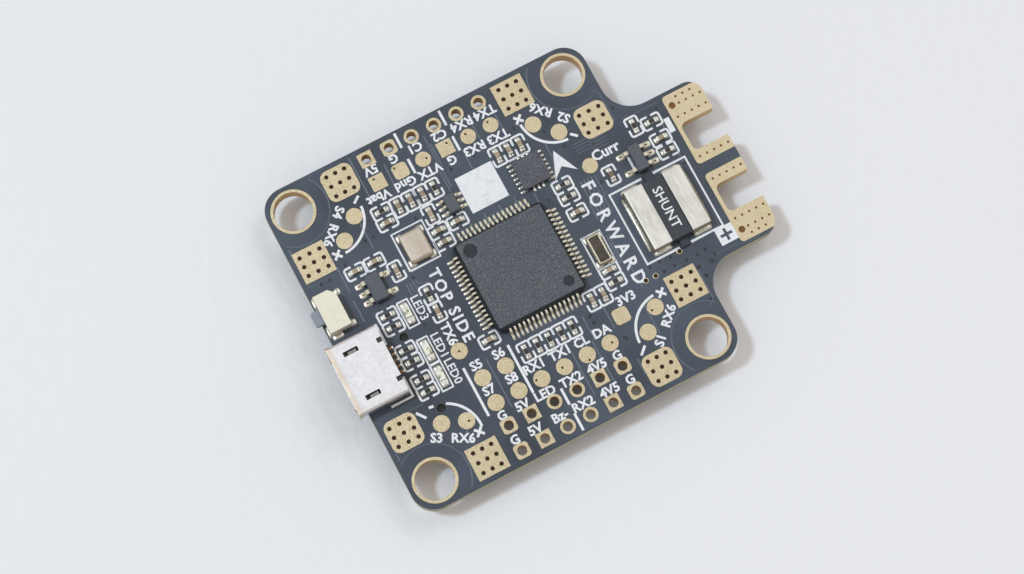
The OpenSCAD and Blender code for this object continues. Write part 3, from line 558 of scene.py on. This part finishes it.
wide_strokes = [
    [(-2.65, 16.05), (-2.65, 17.75)], [(-2.65, 13.1), (-2.65, 14.75)], [(2.4, 16.05), (2.4, 17.75)],
    [(2.4, 13.1), (2.4, 14.75)], [(-7.65, -6.7), (-7.65, -12.1)], [(-2.7, -6.7), (-2.7, -12.1)],
    [(-0.1, -13.0), (-0.1, -14.8)], [(-0.1, -15.8), (-0.1, -17.7)],
    [(17.1, 2.0), (13.45, 2.0), (13.45, -6.0), (17.1, -6.0)],
    [(18.4, 2.0), (22.05, 2.0), (22.05, -6.0), (18.4, -6.0)], [(16.98, 4.85), (16.98, 2.95)],
    [(-13.3, 1.15), (-13.3, -1.1)], [(-13.3, -4.7), (-13.3, -6.85), (-15.7, -6.85)],
    [(-14.2, 1.15), (-13.2, 1.15)],
]
for y0, y1 in ((2.1, -0.7), (-2.15, -4.9), (-5.0, -7.85)):
    top_strokes.append(frame_stroke(-10.5, y0, -9.35, y1))
top_strokes += [frame_stroke(-7.75, 4.4, -4.35, 8.55), frame_stroke(8.8, -4.25, 10.85, -0.65)]
wide_strokes += [
    ring_stroke(-12.7, 12.75, 3.68, 272, 358, 6), ring_stroke(12.7, 12.75, 3.68, 182, 268, 6),
    ring_stroke(12.7, -12.75, 3.75, 178, 94, 6), ring_stroke(-12.45, -12.4, 3.75, 64, -4, 6),
    [(-12.5, -8.63), (-12.0, -8.69)], [(-13.85, -8.5), (-13.16, -9.42)], [(9.28, -13.08), (8.5, -13.8)],
    [(-8.78, 13.7), (-9.5, 13.16)], [(12.98, 9.45), (13.6, 8.9)],
]
for x, y in ((-13.4, 9.25), (9.1, 13.2), (13.25, -9.15), (-9.2, -13.05)):
    wide_strokes += [[(x - 0.4, y - 0.4), (x + 0.4, y + 0.4)], [(x - 0.4, y + 0.4), (x + 0.4, y - 0.4)]]
under_strokes += [
    frame_stroke(6.2, -2.9, 12.2, 3.3), frame_stroke(6.9, -10.2, 11.5, -4.2),
    frame_stroke(-7.9, 6.1, -4.5, 10.3), [(-3.7, 4.9), (-3.7, 10.3)], [(6.7, 4.9), (6.7, 10.3)],
    [(-14.1, -11.7), (-1.9, -11.7), (-1.9, 1.3), (-14.1, 1.3)],
]
seat(drawn_line(top_strokes, 0.22, 0.016, BOARD_TOP + 0.003), "legend_outlines", ink)
seat(drawn_line(wide_strokes, 0.27, 0.018, BOARD_TOP + 0.003), "legend_separators", ink)
seat(drawn_line(under_strokes, 0.17, 0.016, -0.003), "legend_outlines_below", ink)


def printed_shape(outline, holes=()):
    """A filled flat shape with square edges, 0.02 mm thick, printed on the top face."""
    path = bpy.data.curves.new("shape", "CURVE")
    path.dimensions = "2D"
    path.fill_mode = "BOTH"
    path.extrude = 0.009
    for ring in (outline, *holes):
        spline = path.splines.new("POLY")
        spline.points.add(len(ring) - 1)
        spline.use_cyclic_u = True
        for point, (x, y) in zip(spline.points, ring):
            point.co = (x, y, 0, 1)
    shape = bpy.data.objects.new("shape", path)
    bpy.context.collection.objects.link(shape)
    alone(shape)
    bpy.ops.object.convert(target="MESH")
    shape = bpy.context.active_object
    shape.data.transform(Matrix.Translation((0, 0, BOARD_TOP + 0.012)))
    return shape


def box_ring(x0, y0, x1, y1):
    """The four corners of a rectangle."""
    return [(x0, y0), (x1, y0), (x1, y1), (x0, y1)]


plus_mark = [
    (21.75, -7.6), (22.05, -7.6), (22.05, -7.1), (22.55, -7.1), (22.55, -6.8), (22.05, -6.8), (22.05, -6.3),
    (21.75, -6.3), (21.75, -6.8), (21.25, -6.8), (21.25, -7.1), (21.75, -7.1),
]
solid_shapes = [
    printed_shape([(10.65, 8.7), (9.4, 5.85), (10.65, 6.9), (11.95, 5.85)]),
    printed_shape(box_ring(0.5, 6.7, 4.6, 10.7)),
    printed_shape(box_ring(22.0, 4.8, 22.6, 6.4)),
    printed_shape(box_ring(20.95, -7.85, 22.85, -6.05), [plus_mark]),
]
bpy.ops.object.select_all(action="DESELECT")
for shape in solid_shapes:
    shape.select_set(True)
bpy.context.view_layer.objects.active = solid_shapes[0]
bpy.ops.object.join()
seat(bpy.context.active_object, "legend_solids", ink)


def printed_words(labels, level, weight, underneath=False):
    """Short words as flat ink: (word, x, y, turn in degrees, cap height, letter spacing)."""
    made = []
    for word, x, y, turn, cap, spacing in labels:
        text = bpy.data.curves.new("word", "FONT")
        text.body = word
        text.size = cap / 0.7
        text.space_character = spacing
        text.resolution_u = 2
        text.offset = weight
        text.extrude = 0.009
        letters = bpy.data.objects.new("word", text)
        bpy.context.collection.objects.link(letters)
        alone(letters)
        bpy.ops.object.convert(target="MESH")
        letters = bpy.context.active_object
        spots = [v.co for v in letters.data.vertices]
        centre_x = (min(s.x for s in spots) + max(s.x for s in spots)) / 2
        centre_y = cap / 2
        place_it = on_face(x, y, turn, underneath, level)
        letters.data.transform(place_it @ Matrix.Translation((-centre_x, -centre_y, 0)))
        made.append(letters)
    bpy.ops.object.select_all(action="DESELECT")
    for letters in made:
        letters.select_set(True)
    bpy.context.view_layer.objects.active = made[0]
    bpy.ops.object.join()
    return bpy.context.active_object


labels = []
rows = (
    (15.43, 180, (("5V", -6.5), ("G", -3.9), ("C1", -1.4), ("C2", 1.26), ("RX4", 3.78), ("TX4", 6.43))),
    (12.57, 180, (("Vbat", -7.0), ("Gnd", -4.0), ("VTX", -1.26), ("G", 1.26), ("RX3", 3.78), ("TX3", 6.48))),
    (-7.0, 0, (("S5", -6.4), ("S6", -3.9))),
    (-9.78, 0, (("S7", -6.4), ("S8", -3.9), ("RX1", -1.47), ("TX1", 1.4), ("CL", 3.9), ("DA", 6.2))),
    (-12.65, 0, (("G", -6.5), ("5V", -4.2), ("LED", -1.7), ("TX2", 1.2), ("4V5", 4.04), ("G", 6.35))),
    (-15.36, 0, (("G", -6.5), ("5V", -4.2), ("Bz-", -1.47), ("RX2", 1.13), ("4V5", 4.04), ("G", 6.35))),
    (-7.96, 0, (("3V3", 9.87),)),
)
for y, turn, words in rows:
    labels += [(word, x, y, turn, 0.92, 1.0) for word, x in words]
labels += [
    ("Curr", 15.3, 6.27, 0, 1.05, 1.0), ("TX6", -7.27, -3.0, -90, 0.92, 1.0),
    ("TOP SIDE", -5.7, -0.5, -90, 1.15, 1.22), ("FORWARD", 12.1, -1.6, -90, 1.3, 1.45),
    ("S4", -11.3, 13.05, 225, 0.92, 1.0), ("RX6", -13.05, 11.3, 225, 0.92, 1.0),
    ("RX6", 11.5, 13.05, 135, 0.92, 1.0), ("S2", 13.2, 11.25, 135, 0.92, 1.0),
    ("RX6", 12.8, -11.5, 45, 0.92, 1.0), ("S1", 10.8, -13.4, 45, 0.92, 1.0),
    ("S3", -13.2, -11.6, -28, 0.92, 1.0), ("RX6", -10.85, -12.85, -28, 0.92, 1.0),
]
light_labels = [
    ("LED3", -8.62, 0.7, -90, 0.86, 1.0), ("LED1", -8.62, -3.5, -90, 0.86, 1.0),
    ("LED0", -8.62, -6.5, -90, 0.86, 1.0),
]
seat(printed_words(labels, 0.012, 0.045), "legend_words", ink)
seat(printed_words(light_labels, 0.012, 0.018), "legend_light_names", ink)
under_labels = [
    ("CARD", -8.2, 2.2, 0, 1.0, 1.1), ("5V", 9.2, -11.4, 0, 0.9, 1.0), ("BOTTOM", 10.4, 6.3, 0, 1.0, 1.2),
    ("+", 21.9, -6.9, 0, 1.6, 1.0), ("-", 21.9, 6.9, 0, 1.6, 1.0),
]
seat(printed_words(under_labels, 0.012, 0.03, True), "legend_words_below", ink)

# ---- Solder ----
# Bright tin solder wets every land and climbs the metal end of the part on it. One low mound is shaped
# and copied to each joint.
solder, place = new_finish("bright_solder", 0.8)
flow = place.grain(1800, 3.0)
lay_finish(solder, flow.tint(paint(176, 174, 166), paint(238, 237, 230)), flow * 0.3 + 0.14, flow, 0.00002)


def solder_mound():
    """A mound one millimetre square and high, with a rounded rim, made once for all joints."""
    bpy.ops.object.select_all(action="DESELECT")
    bpy.ops.mesh.primitive_plane_add(size=1, location=(0, 0, 0))
    mound = bpy.context.active_object
    bpy.ops.object.mode_set(mode="EDIT")
    bpy.ops.mesh.select_all(action="SELECT")
    bpy.ops.mesh.bevel(offset=0.22, segments=2, affect="VERTICES")
    for shrink, rise in ((0.96, 0.45), (0.8, 0.33), (0.66, 0.17), (0.5, 0.05)):
        bpy.ops.mesh.extrude_region_move(TRANSFORM_OT_translate={"value": (0, 0, rise)})
        bpy.ops.transform.resize(value=(shrink, shrink, 1), center_override=(0, 0, 0))
    bpy.ops.object.mode_set(mode="OBJECT")
    bpy.ops.object.shade_smooth_by_angle(angle=math.radians(75))
    return mound


chip_end = 0.56
end_span = (0.5, 0.62, 0.2)
joints = []
for middle, along in chips:
    turn = math.degrees(math.atan2(along.y, along.x))
    for side in (-1, 1):
        spot = middle.xy + along * (side * chip_end)
        turned = turn if middle.z > 1 else -turn
        joints.append(on_face(spot.x, spot.y, turned, middle.z < 1, 0.0, end_span))
seat(copies(solder_mound(), joints), "solder_at_chips", solder)


def feet_joints(node, reach, width, height, centre=None):
    """Mounds under the feet of a leaded package, pushed out from its middle by part of their reach."""
    foot_share = 0.32
    parts = loose_parts(node)
    if centre is None:
        centre = sum((middle for middle, size in parts), Vector()) / len(parts)
    found = []
    for middle, size in parts:
        outward = middle - centre
        sideways = size.x > size.y
        push = size.x / 2 if sideways else size.y / 2
        step = math.copysign(push - reach * foot_share, outward.x if sideways else outward.y)
        x = middle.x + (step if sideways else 0)
        y = middle.y + (0 if sideways else step)
        span = (reach, width, height) if sideways else (width, reach, height)
        found.append(on_face(x, y, 0, middle.z < 0, 0.0, span))
    return found


# ---- Processor ----
# A square moulded package of black epoxy with sixty-four bent tin-plated leads, sixteen on each side.
# The moulding pins leave two dimples, and every foot is soldered to its own land.
epoxy, place = new_finish("speckled_moulding_epoxy", Specular_IOR_Level=0.4)
top_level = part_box("processor_body")[1][2]
open_top = place.axis("Z") > top_level - 0.00002
grit = place.grain(6800, 2.0).between(0.4, 0.66)
glints = place.node("ShaderNodeTexVoronoi", {}, {"Vector": place, "Scale": 4200.0})
glint = (glints < 0.2) * (place.grain(700, 3.0) > 0.44)
rough_top = (grit * 0.75 + place.grain(500, 3.0) * 0.25).tint(paint(52, 57, 69), paint(104, 109, 117))
sparkling = (glint * 0.6).tint(rough_top, paint(168, 156, 138))
# Every face below the top, the sides and the two pin dimples, is painted dark: painted shade.
painted_shade_below_top = place.grain(1500).tint(paint(26, 32, 41), paint(36, 43, 53))
lay_finish(epoxy, open_top.tint(painted_shade_below_top, sparkling), grit * 0.2 + 0.45, grit * open_top, 0.000012)
eased("processor_body", 0.05, epoxy)

tin, place = new_finish("tin_plate", 0.72)
skin = place.grain(2400, 3.0, (1, 1, 0.4))
lay_finish(tin, skin.tint(paint(180, 178, 170), paint(236, 234, 226)), skin * 0.2 + 0.24, skin, 0.000008)
lead_tin, place = new_finish("matt_tin_on_leads", 0.32)
skin = place.grain(3200, 3.0)
lay_finish(lead_tin, skin.tint(paint(190, 181, 160), paint(236, 229, 210)), skin * 0.2 + 0.34, skin, 0.00001)
eased("processor_leads", 0.025, lead_tin)
processor_feet = feet_joints("processor_leads", 0.95, 0.3, 0.12)
seat(copies(solder_mound(), processor_feet), "solder_at_processor", solder)

# ---- Motion sensor ----
# A small leadless package of the same epoxy. Its metal lands show as a row of solder beads along each
# side.
sensor_epoxy, place = new_finish("sensor_epoxy", Specular_IOR_Level=0.5)
grit = place.grain(8000, 3.0)
sensor_black = grit.between(0.38, 0.64).tint(paint(54, 56, 68), paint(96, 97, 108))
lay_finish(sensor_epoxy, sensor_black, grit * 0.2 + 0.38, grit, 0.000008)
eased("motion_sensor_body", 0.05, sensor_epoxy)
eased("motion_sensor_terminals", 0.02, tin)
sensor_middle = Vector((7.65, 7.8))
bead_out = 0.32
beads = []
for middle, size in loose_parts("motion_sensor_terminals"):
    outward = middle.xy - sensor_middle
    if size.x > size.y:
        x = middle.x + math.copysign(bead_out, outward.x)
        beads.append(on_face(x, middle.y, 0, False, 0, (0.42, 0.3, 0.14)))
    else:
        y = middle.y + math.copysign(bead_out, outward.y)
        beads.append(on_face(middle.x, y, 0, False, 0, (0.3, 0.42, 0.14)))
seat(copies(solder_mound(), beads), "solder_at_motion_sensor", solder)

# ---- Crystals ----
# Quartz crystals in shallow ceramic trays. A nickel lid is seam-welded on, which leaves a step round its
# edge. The clock crystal is the long, narrow one, with a dished lid.
tray, place = new_finish("crystal_tray_ceramic")
chalk = place.grain(2500, 3.0)
lay_finish(tray, chalk.tint(paint(112, 100, 82), paint(168, 156, 134)), chalk * 0.2 + 0.5, chalk, 0.00001)
lid_nickel, place = new_finish("rolled_nickel_lid", 1.0)
rolled = place.grain(1500, 3.0, (1, 0.08, 1))
lid_tone = rolled.tint(paint(172, 160, 148), paint(214, 206, 196))
lay_finish(lid_nickel, lid_tone, rolled * 0.2 + 0.28, rolled, 0.000008)
eased("crystal_bases", 0.03, tray)
eased("crystal_lids", 0.045, lid_nickel, 3)
eased("clock_crystal_base", 0.03, tray)
dished_lid, place = new_finish("dished_dark_lid")
lid_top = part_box("clock_crystal_lid")[1][2]
rim = place.axis("Z").between(lid_top - 0.00007, lid_top - 0.00003)
glass = place.grain(1300, 3.0, (0.3, 1, 1))
lid_tone = rim.tint(glass.tint(paint(30, 26, 21), paint(84, 74, 60)), paint(196, 188, 168))
lay_finish(dished_lid, lid_tone, glass * 0.2 + 0.24, glass, 0.00001)
dished_shader = dished_lid.node_tree.nodes["Principled BSDF"]
dished_lid.node_tree.links.new(rim.socket, dished_shader.inputs["Metallic"])
eased("clock_crystal_lid", 0.03, dished_lid)
corner_joints = []
for middle, size in loose_parts("crystal_bases") + loose_parts("clock_crystal_base"):
    for sx in (-1, 1):
        for sy in (-1, 1):
            x = middle.x + sx * (size.x / 2 - 0.12)
            y = middle.y + sy * (size.y / 2 - 0.2)
            corner_joints.append(on_face(x, y, 0, middle.z < 0, 0.0, (0.8, 0.85, 0.16)))
seat(copies(solder_mound(), corner_joints), "solder_at_crystals", solder)

# ---- Small leaded chips ----
# The regulator, the video switch and the current amplifier: black moulded bodies on five or six bent
# leads.
black_moulding, place = new_finish("black_moulding", Specular_IOR_Level=0.45)
grit = place.grain(7000, 3.0)
moulded_black = grit.tint(paint(60, 66, 75), paint(98, 104, 114))
lay_finish(black_moulding, moulded_black, grit * 0.24 + 0.4, grit, 0.00001)
small_feet = []
for chip in ("regulator", "video_switch", "current_amplifier"):
    eased(chip + "_body", 0.045, black_moulding)
    eased(chip + "_leads", 0.025, lead_tin)
    low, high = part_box(chip + "_body")
    centre = (Vector(low) + Vector(high)) / 2 / MM
    width = 0.4 if chip == "video_switch" else 0.66
    small_feet += feet_joints(chip + "_leads", 1.0, width, 0.13, centre)
seat(copies(solder_mound(), small_feet), "solder_at_small_chips", solder)

# ---- Current shunt ----
# A strip of dark resistive alloy welded between two thick copper ends, tinned and brushed along their
# length. The whole battery current runs through it.
alloy, place = new_finish("coated_resistive_alloy")
coat = place.grain(3500, 3.0)
lay_finish(alloy, coat.tint(paint(36, 41, 50), paint(58, 64, 74)), coat * 0.2 + 0.42, coat, 0.000012)
brushed, place = new_finish("brushed_tinned_copper")
stroke = place.grain(2600, 4.0, (1, 0.3, 1))
shunt_blotches = place.grain(300, 3.0)
strip_top = place.axis("Z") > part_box("shunt_terminals")[1][2] - 0.00004
wiped = (stroke * 0.6 + shunt_blotches * 0.4).between(0.34, 0.66)
brushed_tone = wiped.tint(paint(194, 192, 186), paint(228, 226, 221))
# Below their top face the ends are painted darker and greener, and are half as metallic.
folded_tone = shunt_blotches.tint(paint(92, 94, 84), paint(196, 190, 170))
lay_finish(brushed, strip_top.tint(folded_tone, brushed_tone), stroke * 0.2 + 0.38, stroke, 0.000014)
brushed_shader = brushed.node_tree.nodes["Principled BSDF"]
brushed.node_tree.links.new((1.0 - strip_top * 0.5).socket, brushed_shader.inputs["Metallic"])
eased("shunt_element", 0.06, alloy)
eased("shunt_terminals", 0.07, brushed, 3)
word = printed_words([("SHUNT", 17.75, -2.0, -90, 0.98, 1.0)], 1.365, 0.015)
seat(word, "shunt_word", ink)
low, high = (Vector(corner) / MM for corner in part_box("shunt_terminals"))
shunt_joints = [
    on_face(low.x + 1.05, low.y - 0.12, 0, False, 0, (2.1, 0.7, 0.32)),
    on_face(low.x + 1.05, high.y + 0.12, 0, False, 0, (2.1, 0.7, 0.32)),
    on_face(high.x - 1.05, low.y - 0.12, 0, False, 0, (2.1, 0.7, 0.32)),
    on_face(high.x - 1.05, high.y + 0.12, 0, False, 0, (2.1, 0.7, 0.32)),
    on_face(low.x - 0.05, (low.y + high.y) / 2, 0, False, 0, (0.5, 6.0, 0.3)),
    on_face(high.x + 0.05, (low.y + high.y) / 2, 0, False, 0, (0.5, 6.0, 0.3)),
]
seat(copies(solder_mound(), shunt_joints), "solder_at_shunt", solder)

# ---- Micro-USB socket ----
# A shell folded from nickel-plated steel, flared at its mouth, with two sprung latches in its top. A
# moulded tongue holds five gold contacts inside.
nickel, place = new_finish("nickel_plated_steel", 1.0)
mouth = place.axis("X").between(-0.01838, -0.01872)
rolled = place.grain(2400, 3.0)
spots = place.grain(700, 3.0)
shell_low, shell_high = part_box("usb_shell")
half_width = (shell_high[1] - shell_low[1]) / 2
off_middle = abs(place.axis("Y") - (shell_low[1] + shell_high[1]) / 2)
# Inside the shell, below its top and away from its side walls, the steel and latch fingers are painted dark
# grey: painted shade.
painted_shade_inside = (place.axis("Z") < shell_high[2] - 0.00016) * (off_middle < half_width - 0.0009)
shell_tone = (rolled * 0.4 + spots * 0.6).tint(paint(214, 214, 218), paint(236, 236, 240))
outer_tone = mouth.tint(shell_tone, spots.tint(paint(184, 170, 154), paint(236, 228, 216)))
lay_finish(nickel, painted_shade_inside.tint(outer_tone, paint(112, 108, 104)), rolled * 0.12 + 0.3, rolled, 0.000004)
eased("usb_shell", 0.03, nickel)
dark_moulding, place = new_finish("glass_filled_moulding")
flecks = place.grain(5000, 3.0)
# Within the board's thickness, down in its holes, the moulding is painted near black: painted shade.
painted_shade_in_board = (place.axis("Z") > 0.0002) * (place.axis("Z") < 0.00159)
moulding_tone = painted_shade_in_board.tint(flecks.tint(paint(34, 32, 32), paint(62, 58, 56)), paint(9, 11, 14))
lay_finish(dark_moulding, moulding_tone, flecks * 0.2 + 0.45, flecks, 0.00001)
eased("usb_insulator", 0.02, dark_moulding)
# The gold contacts are painted dark brown: painted shade under the shell's overhang.
contact_gold_in_shade, place = new_finish("contact_gold_painted_shade", 0.8)
contact_mottle = place.grain(2600, 3.0)
lay_finish(contact_gold_in_shade, contact_mottle.tint(paint(92, 66, 38), paint(150, 112, 66)), contact_mottle * 0.2 + 0.34, contact_mottle, 0.00001)
eased("usb_contacts", 0.015, contact_gold_in_shade)
low, high = (Vector(corner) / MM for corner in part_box("usb_shell"))
anchors = []
for side_y in (low.y + 0.75, high.y - 0.75):
    for x in (low.x + 2.2, high.x - 1.0):
        anchors.append(on_face(x, side_y, 0, False, 0, (1.5, 0.9, 0.35)))
anchors += [on_face(-13.1, -2.9 + 0.65 * i, 0, False, 0, (0.7, 0.34, 0.12)) for i in range(-2, 3)]
seat(copies(solder_mound(), anchors), "solder_at_usb", solder)

# ---- Boot button ----
# A cream moulded case with a blue-grey plunger that is pressed from the board's edge against a steel
# snap dome. Two side plates and two feet hold it down.
cream, place = new_finish("cream_moulding")
cloudy = place.grain(1300, 3.0)
cream_tone = cloudy.tint(paint(222, 216, 198), paint(240, 236, 222))
lay_finish(cream, cream_tone, cloudy * 0.15 + 0.42, place.grain(6000), 0.000008)
plunger_plastic, place = new_finish("blue_grey_moulding")
cloudy = place.grain(2200, 3.0)
plunger_tone = cloudy.tint(paint(120, 130, 144), paint(146, 155, 168))
lay_finish(plunger_plastic, plunger_tone, cloudy * 0.15 + 0.36, cloudy, 0.000008)
spring_steel, place = new_finish("spring_steel", 1.0)
rolled = place.grain(2500, 3.0)
spring_tone = rolled.tint(paint(170, 172, 176), paint(214, 214, 216))
lay_finish(spring_steel, spring_tone, rolled * 0.15 + 0.2, rolled, 0.000005)
eased("boot_button_housing", 0.05, cream)
eased("boot_button_plunger", 0.05, plunger_plastic, 3, "button")
eased("boot_button_dome", 0.01, spring_steel)
eased("boot_button_terminals", 0.02, lead_tin)
button_joints = []
for middle, size in loose_parts("boot_button_terminals"):
    button_joints.append(on_face(middle.x, middle.y, 0, False, 0, (size.x + 0.25, size.y + 0.3, 0.16)))
seat(copies(solder_mound(), button_joints), "solder_at_button", solder)

# ---- Indicator lights ----
# A white ceramic base with a soldered end on each side, and a cast lens of clear resin over the phosphor.
light_base, place = new_finish("white_light_base")
chalk = place.grain(3000, 3.0)
base_white = chalk.tint(paint(214, 214, 206), paint(240, 240, 234))
lay_finish(light_base, base_white, chalk * 0.2 + 0.5, chalk, 0.00001)
lens, place = new_finish("phosphor_lens", Coat_Weight=0.6, Coat_Roughness=0.08)
swirl = place.grain(1800, 3.0)
lens_tone = swirl.between(0.36, 0.5).tint(paint(120, 124, 98), paint(240, 241, 226))
lay_finish(lens, lens_tone, swirl * 0.15 + 0.18, swirl, 0.000006)
eased("led_bases", 0.03, light_base)
eased("led_lenses", 0.05, lens, 3)
light_end = 0.86
light_joints = []
for middle, size in loose_parts("led_bases"):
    for side in (-1, 1):
        light_joints.append(on_face(middle.x, middle.y + side * light_end, 0, False, 0, (0.85, 0.6, 0.2)))
seat(copies(solder_mound(), light_joints), "solder_at_lights", solder)

# ---- Chip capacitors and resistors ----
# Capacitors are stacked tan ceramic with tinned ends; resistors are white alumina with a black film on
# top. All are set down by machine and reflowed.
tan_ceramic, place = new_finish("tan_ceramic")
bake = place.grain(1500, 3.0)
batch = (bake * 0.5 + place.grain(300, 1.0) * 0.5).between(0.35, 0.65)
tan = batch.tint(paint(116, 102, 84), paint(176, 160, 136))
lay_finish(tan_ceramic, tan, bake * 0.15 + 0.36, bake, 0.00001)
alumina, place = new_finish("white_alumina")
chalk = place.grain(3000, 3.0)
lay_finish(alumina, chalk.tint(paint(206, 206, 200), paint(236, 236, 230)), chalk * 0.2 + 0.5, chalk, 0.00001)
film, place = new_finish("black_resistor_film", Specular_IOR_Level=0.55)
glaze = place.grain(2600, 3.0)
lay_finish(film, glaze.tint(paint(20, 21, 24), paint(44, 45, 49)), glaze * 0.15 + 0.22, glaze, 0.00001)
eased("capacitor_bodies", 0.03, tan_ceramic)
eased("capacitor_terminals", 0.05, tin)
eased("resistor_bodies", 0.02, alumina)
eased("resistor_films", 0.012, film)
eased("resistor_terminals", 0.045, tin)

# ---- Memory-card socket ----
# Under the board: a stamped steel cover clipped over a black moulded tray, with eight sprung contacts.
# Two moulded pegs locate it through the board.
cover_steel, place = new_finish("stamped_cover_steel", 1.0)
rolled = place.grain(700, 3.0, (1, 0.07, 1))
smudge = place.grain(170, 3.0)
cover_tone = (rolled * 0.5 + smudge * 0.5).tint(paint(180, 181, 184), paint(226, 226, 226))
lay_finish(cover_steel, cover_tone, smudge * 0.2 + 0.2, rolled, 0.00001)
eased("card_socket_shell", 0.03, cover_steel)
eased("card_socket_base", 0.03, dark_moulding)
eased("card_socket_contacts", 0.02, gold)
low, high = (Vector(corner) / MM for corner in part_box("card_socket_shell"))
socket_joints = []
for x in (low.x + 1.2, low.x + 8.2):
    for y in (low.y + 0.1, high.y - 0.1):
        socket_joints.append(on_face(x, y, 0, True, 0, (1.8, 0.9, 0.4)))
for middle, size in loose_parts("card_socket_contacts"):
    socket_joints.append(on_face(high.x + 0.25, middle.y, 0, True, 0, (1.1, 0.6, 0.14)))
seat(copies(solder_mound(), socket_joints), "solder_at_card_socket", solder)

# ---- Video overlay chip and supply converter ----
# Two black moulded chips under the board: one long with fourteen leads on each side, one short with four
# wide leads on each side.
under_feet = []
for chip, reach, width in (("video_overlay", 0.75, 0.34), ("buck_converter", 0.8, 0.62)):
    eased(chip + "_body", 0.05, black_moulding)
    eased(chip + "_leads", 0.025, tin)
    low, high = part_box(chip + "_body")
    under_feet += feet_joints(chip + "_leads", reach, width, 0.15, (Vector(low) + Vector(high)) / 2 / MM)
seat(copies(solder_mound(), under_feet), "solder_at_chips_below", solder)

# ---- Inductor and large capacitors ----
# A shielded inductor of pressed metal powder with folded tin terminals, and four large ceramic
# capacitors that smooth the supply.
powder, place = new_finish("pressed_powder")
grit = place.grain(4200, 4.0)
sparkle = place.node("ShaderNodeTexVoronoi", {}, {"Vector": place, "Scale": 3600.0}) < 0.13
powder_tone = (grit * 0.5 + sparkle * 0.5).tint(paint(72, 74, 78), paint(148, 149, 150))
lay_finish(powder, powder_tone, grit * 0.25 + 0.5, grit, 0.00003)
eased("inductor_core", 0.12, powder, 3)
eased("inductor_terminals", 0.03, tin)
eased("bulk_capacitor_bodies", 0.06, tan_ceramic)
eased("bulk_capacitor_terminals", 0.1, tin, 3)
low, high = (Vector(corner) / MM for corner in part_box("inductor_terminals"))
coil_y = (low.y + high.y) / 2
big_joints = [on_face(x, coil_y, 0, True, 0, (0.8, 2.2, 0.4)) for x in (low.x - 0.1, high.x + 0.1)]
for middle, along in chip_places("bulk_capacitor_bodies", "bulk_capacitor_terminals"):
    for side in (-1, 1):
        spot = middle.xy + along * (side * 1.72)
        flat = abs(along.x) > abs(along.y)
        span = (0.8, 1.7, 0.5) if flat else (1.7, 0.8, 0.5)
        big_joints.append(on_face(spot.x, spot.y, 0, True, 0, span))
seat(copies(solder_mound(), big_joints), "solder_at_supply", solder)
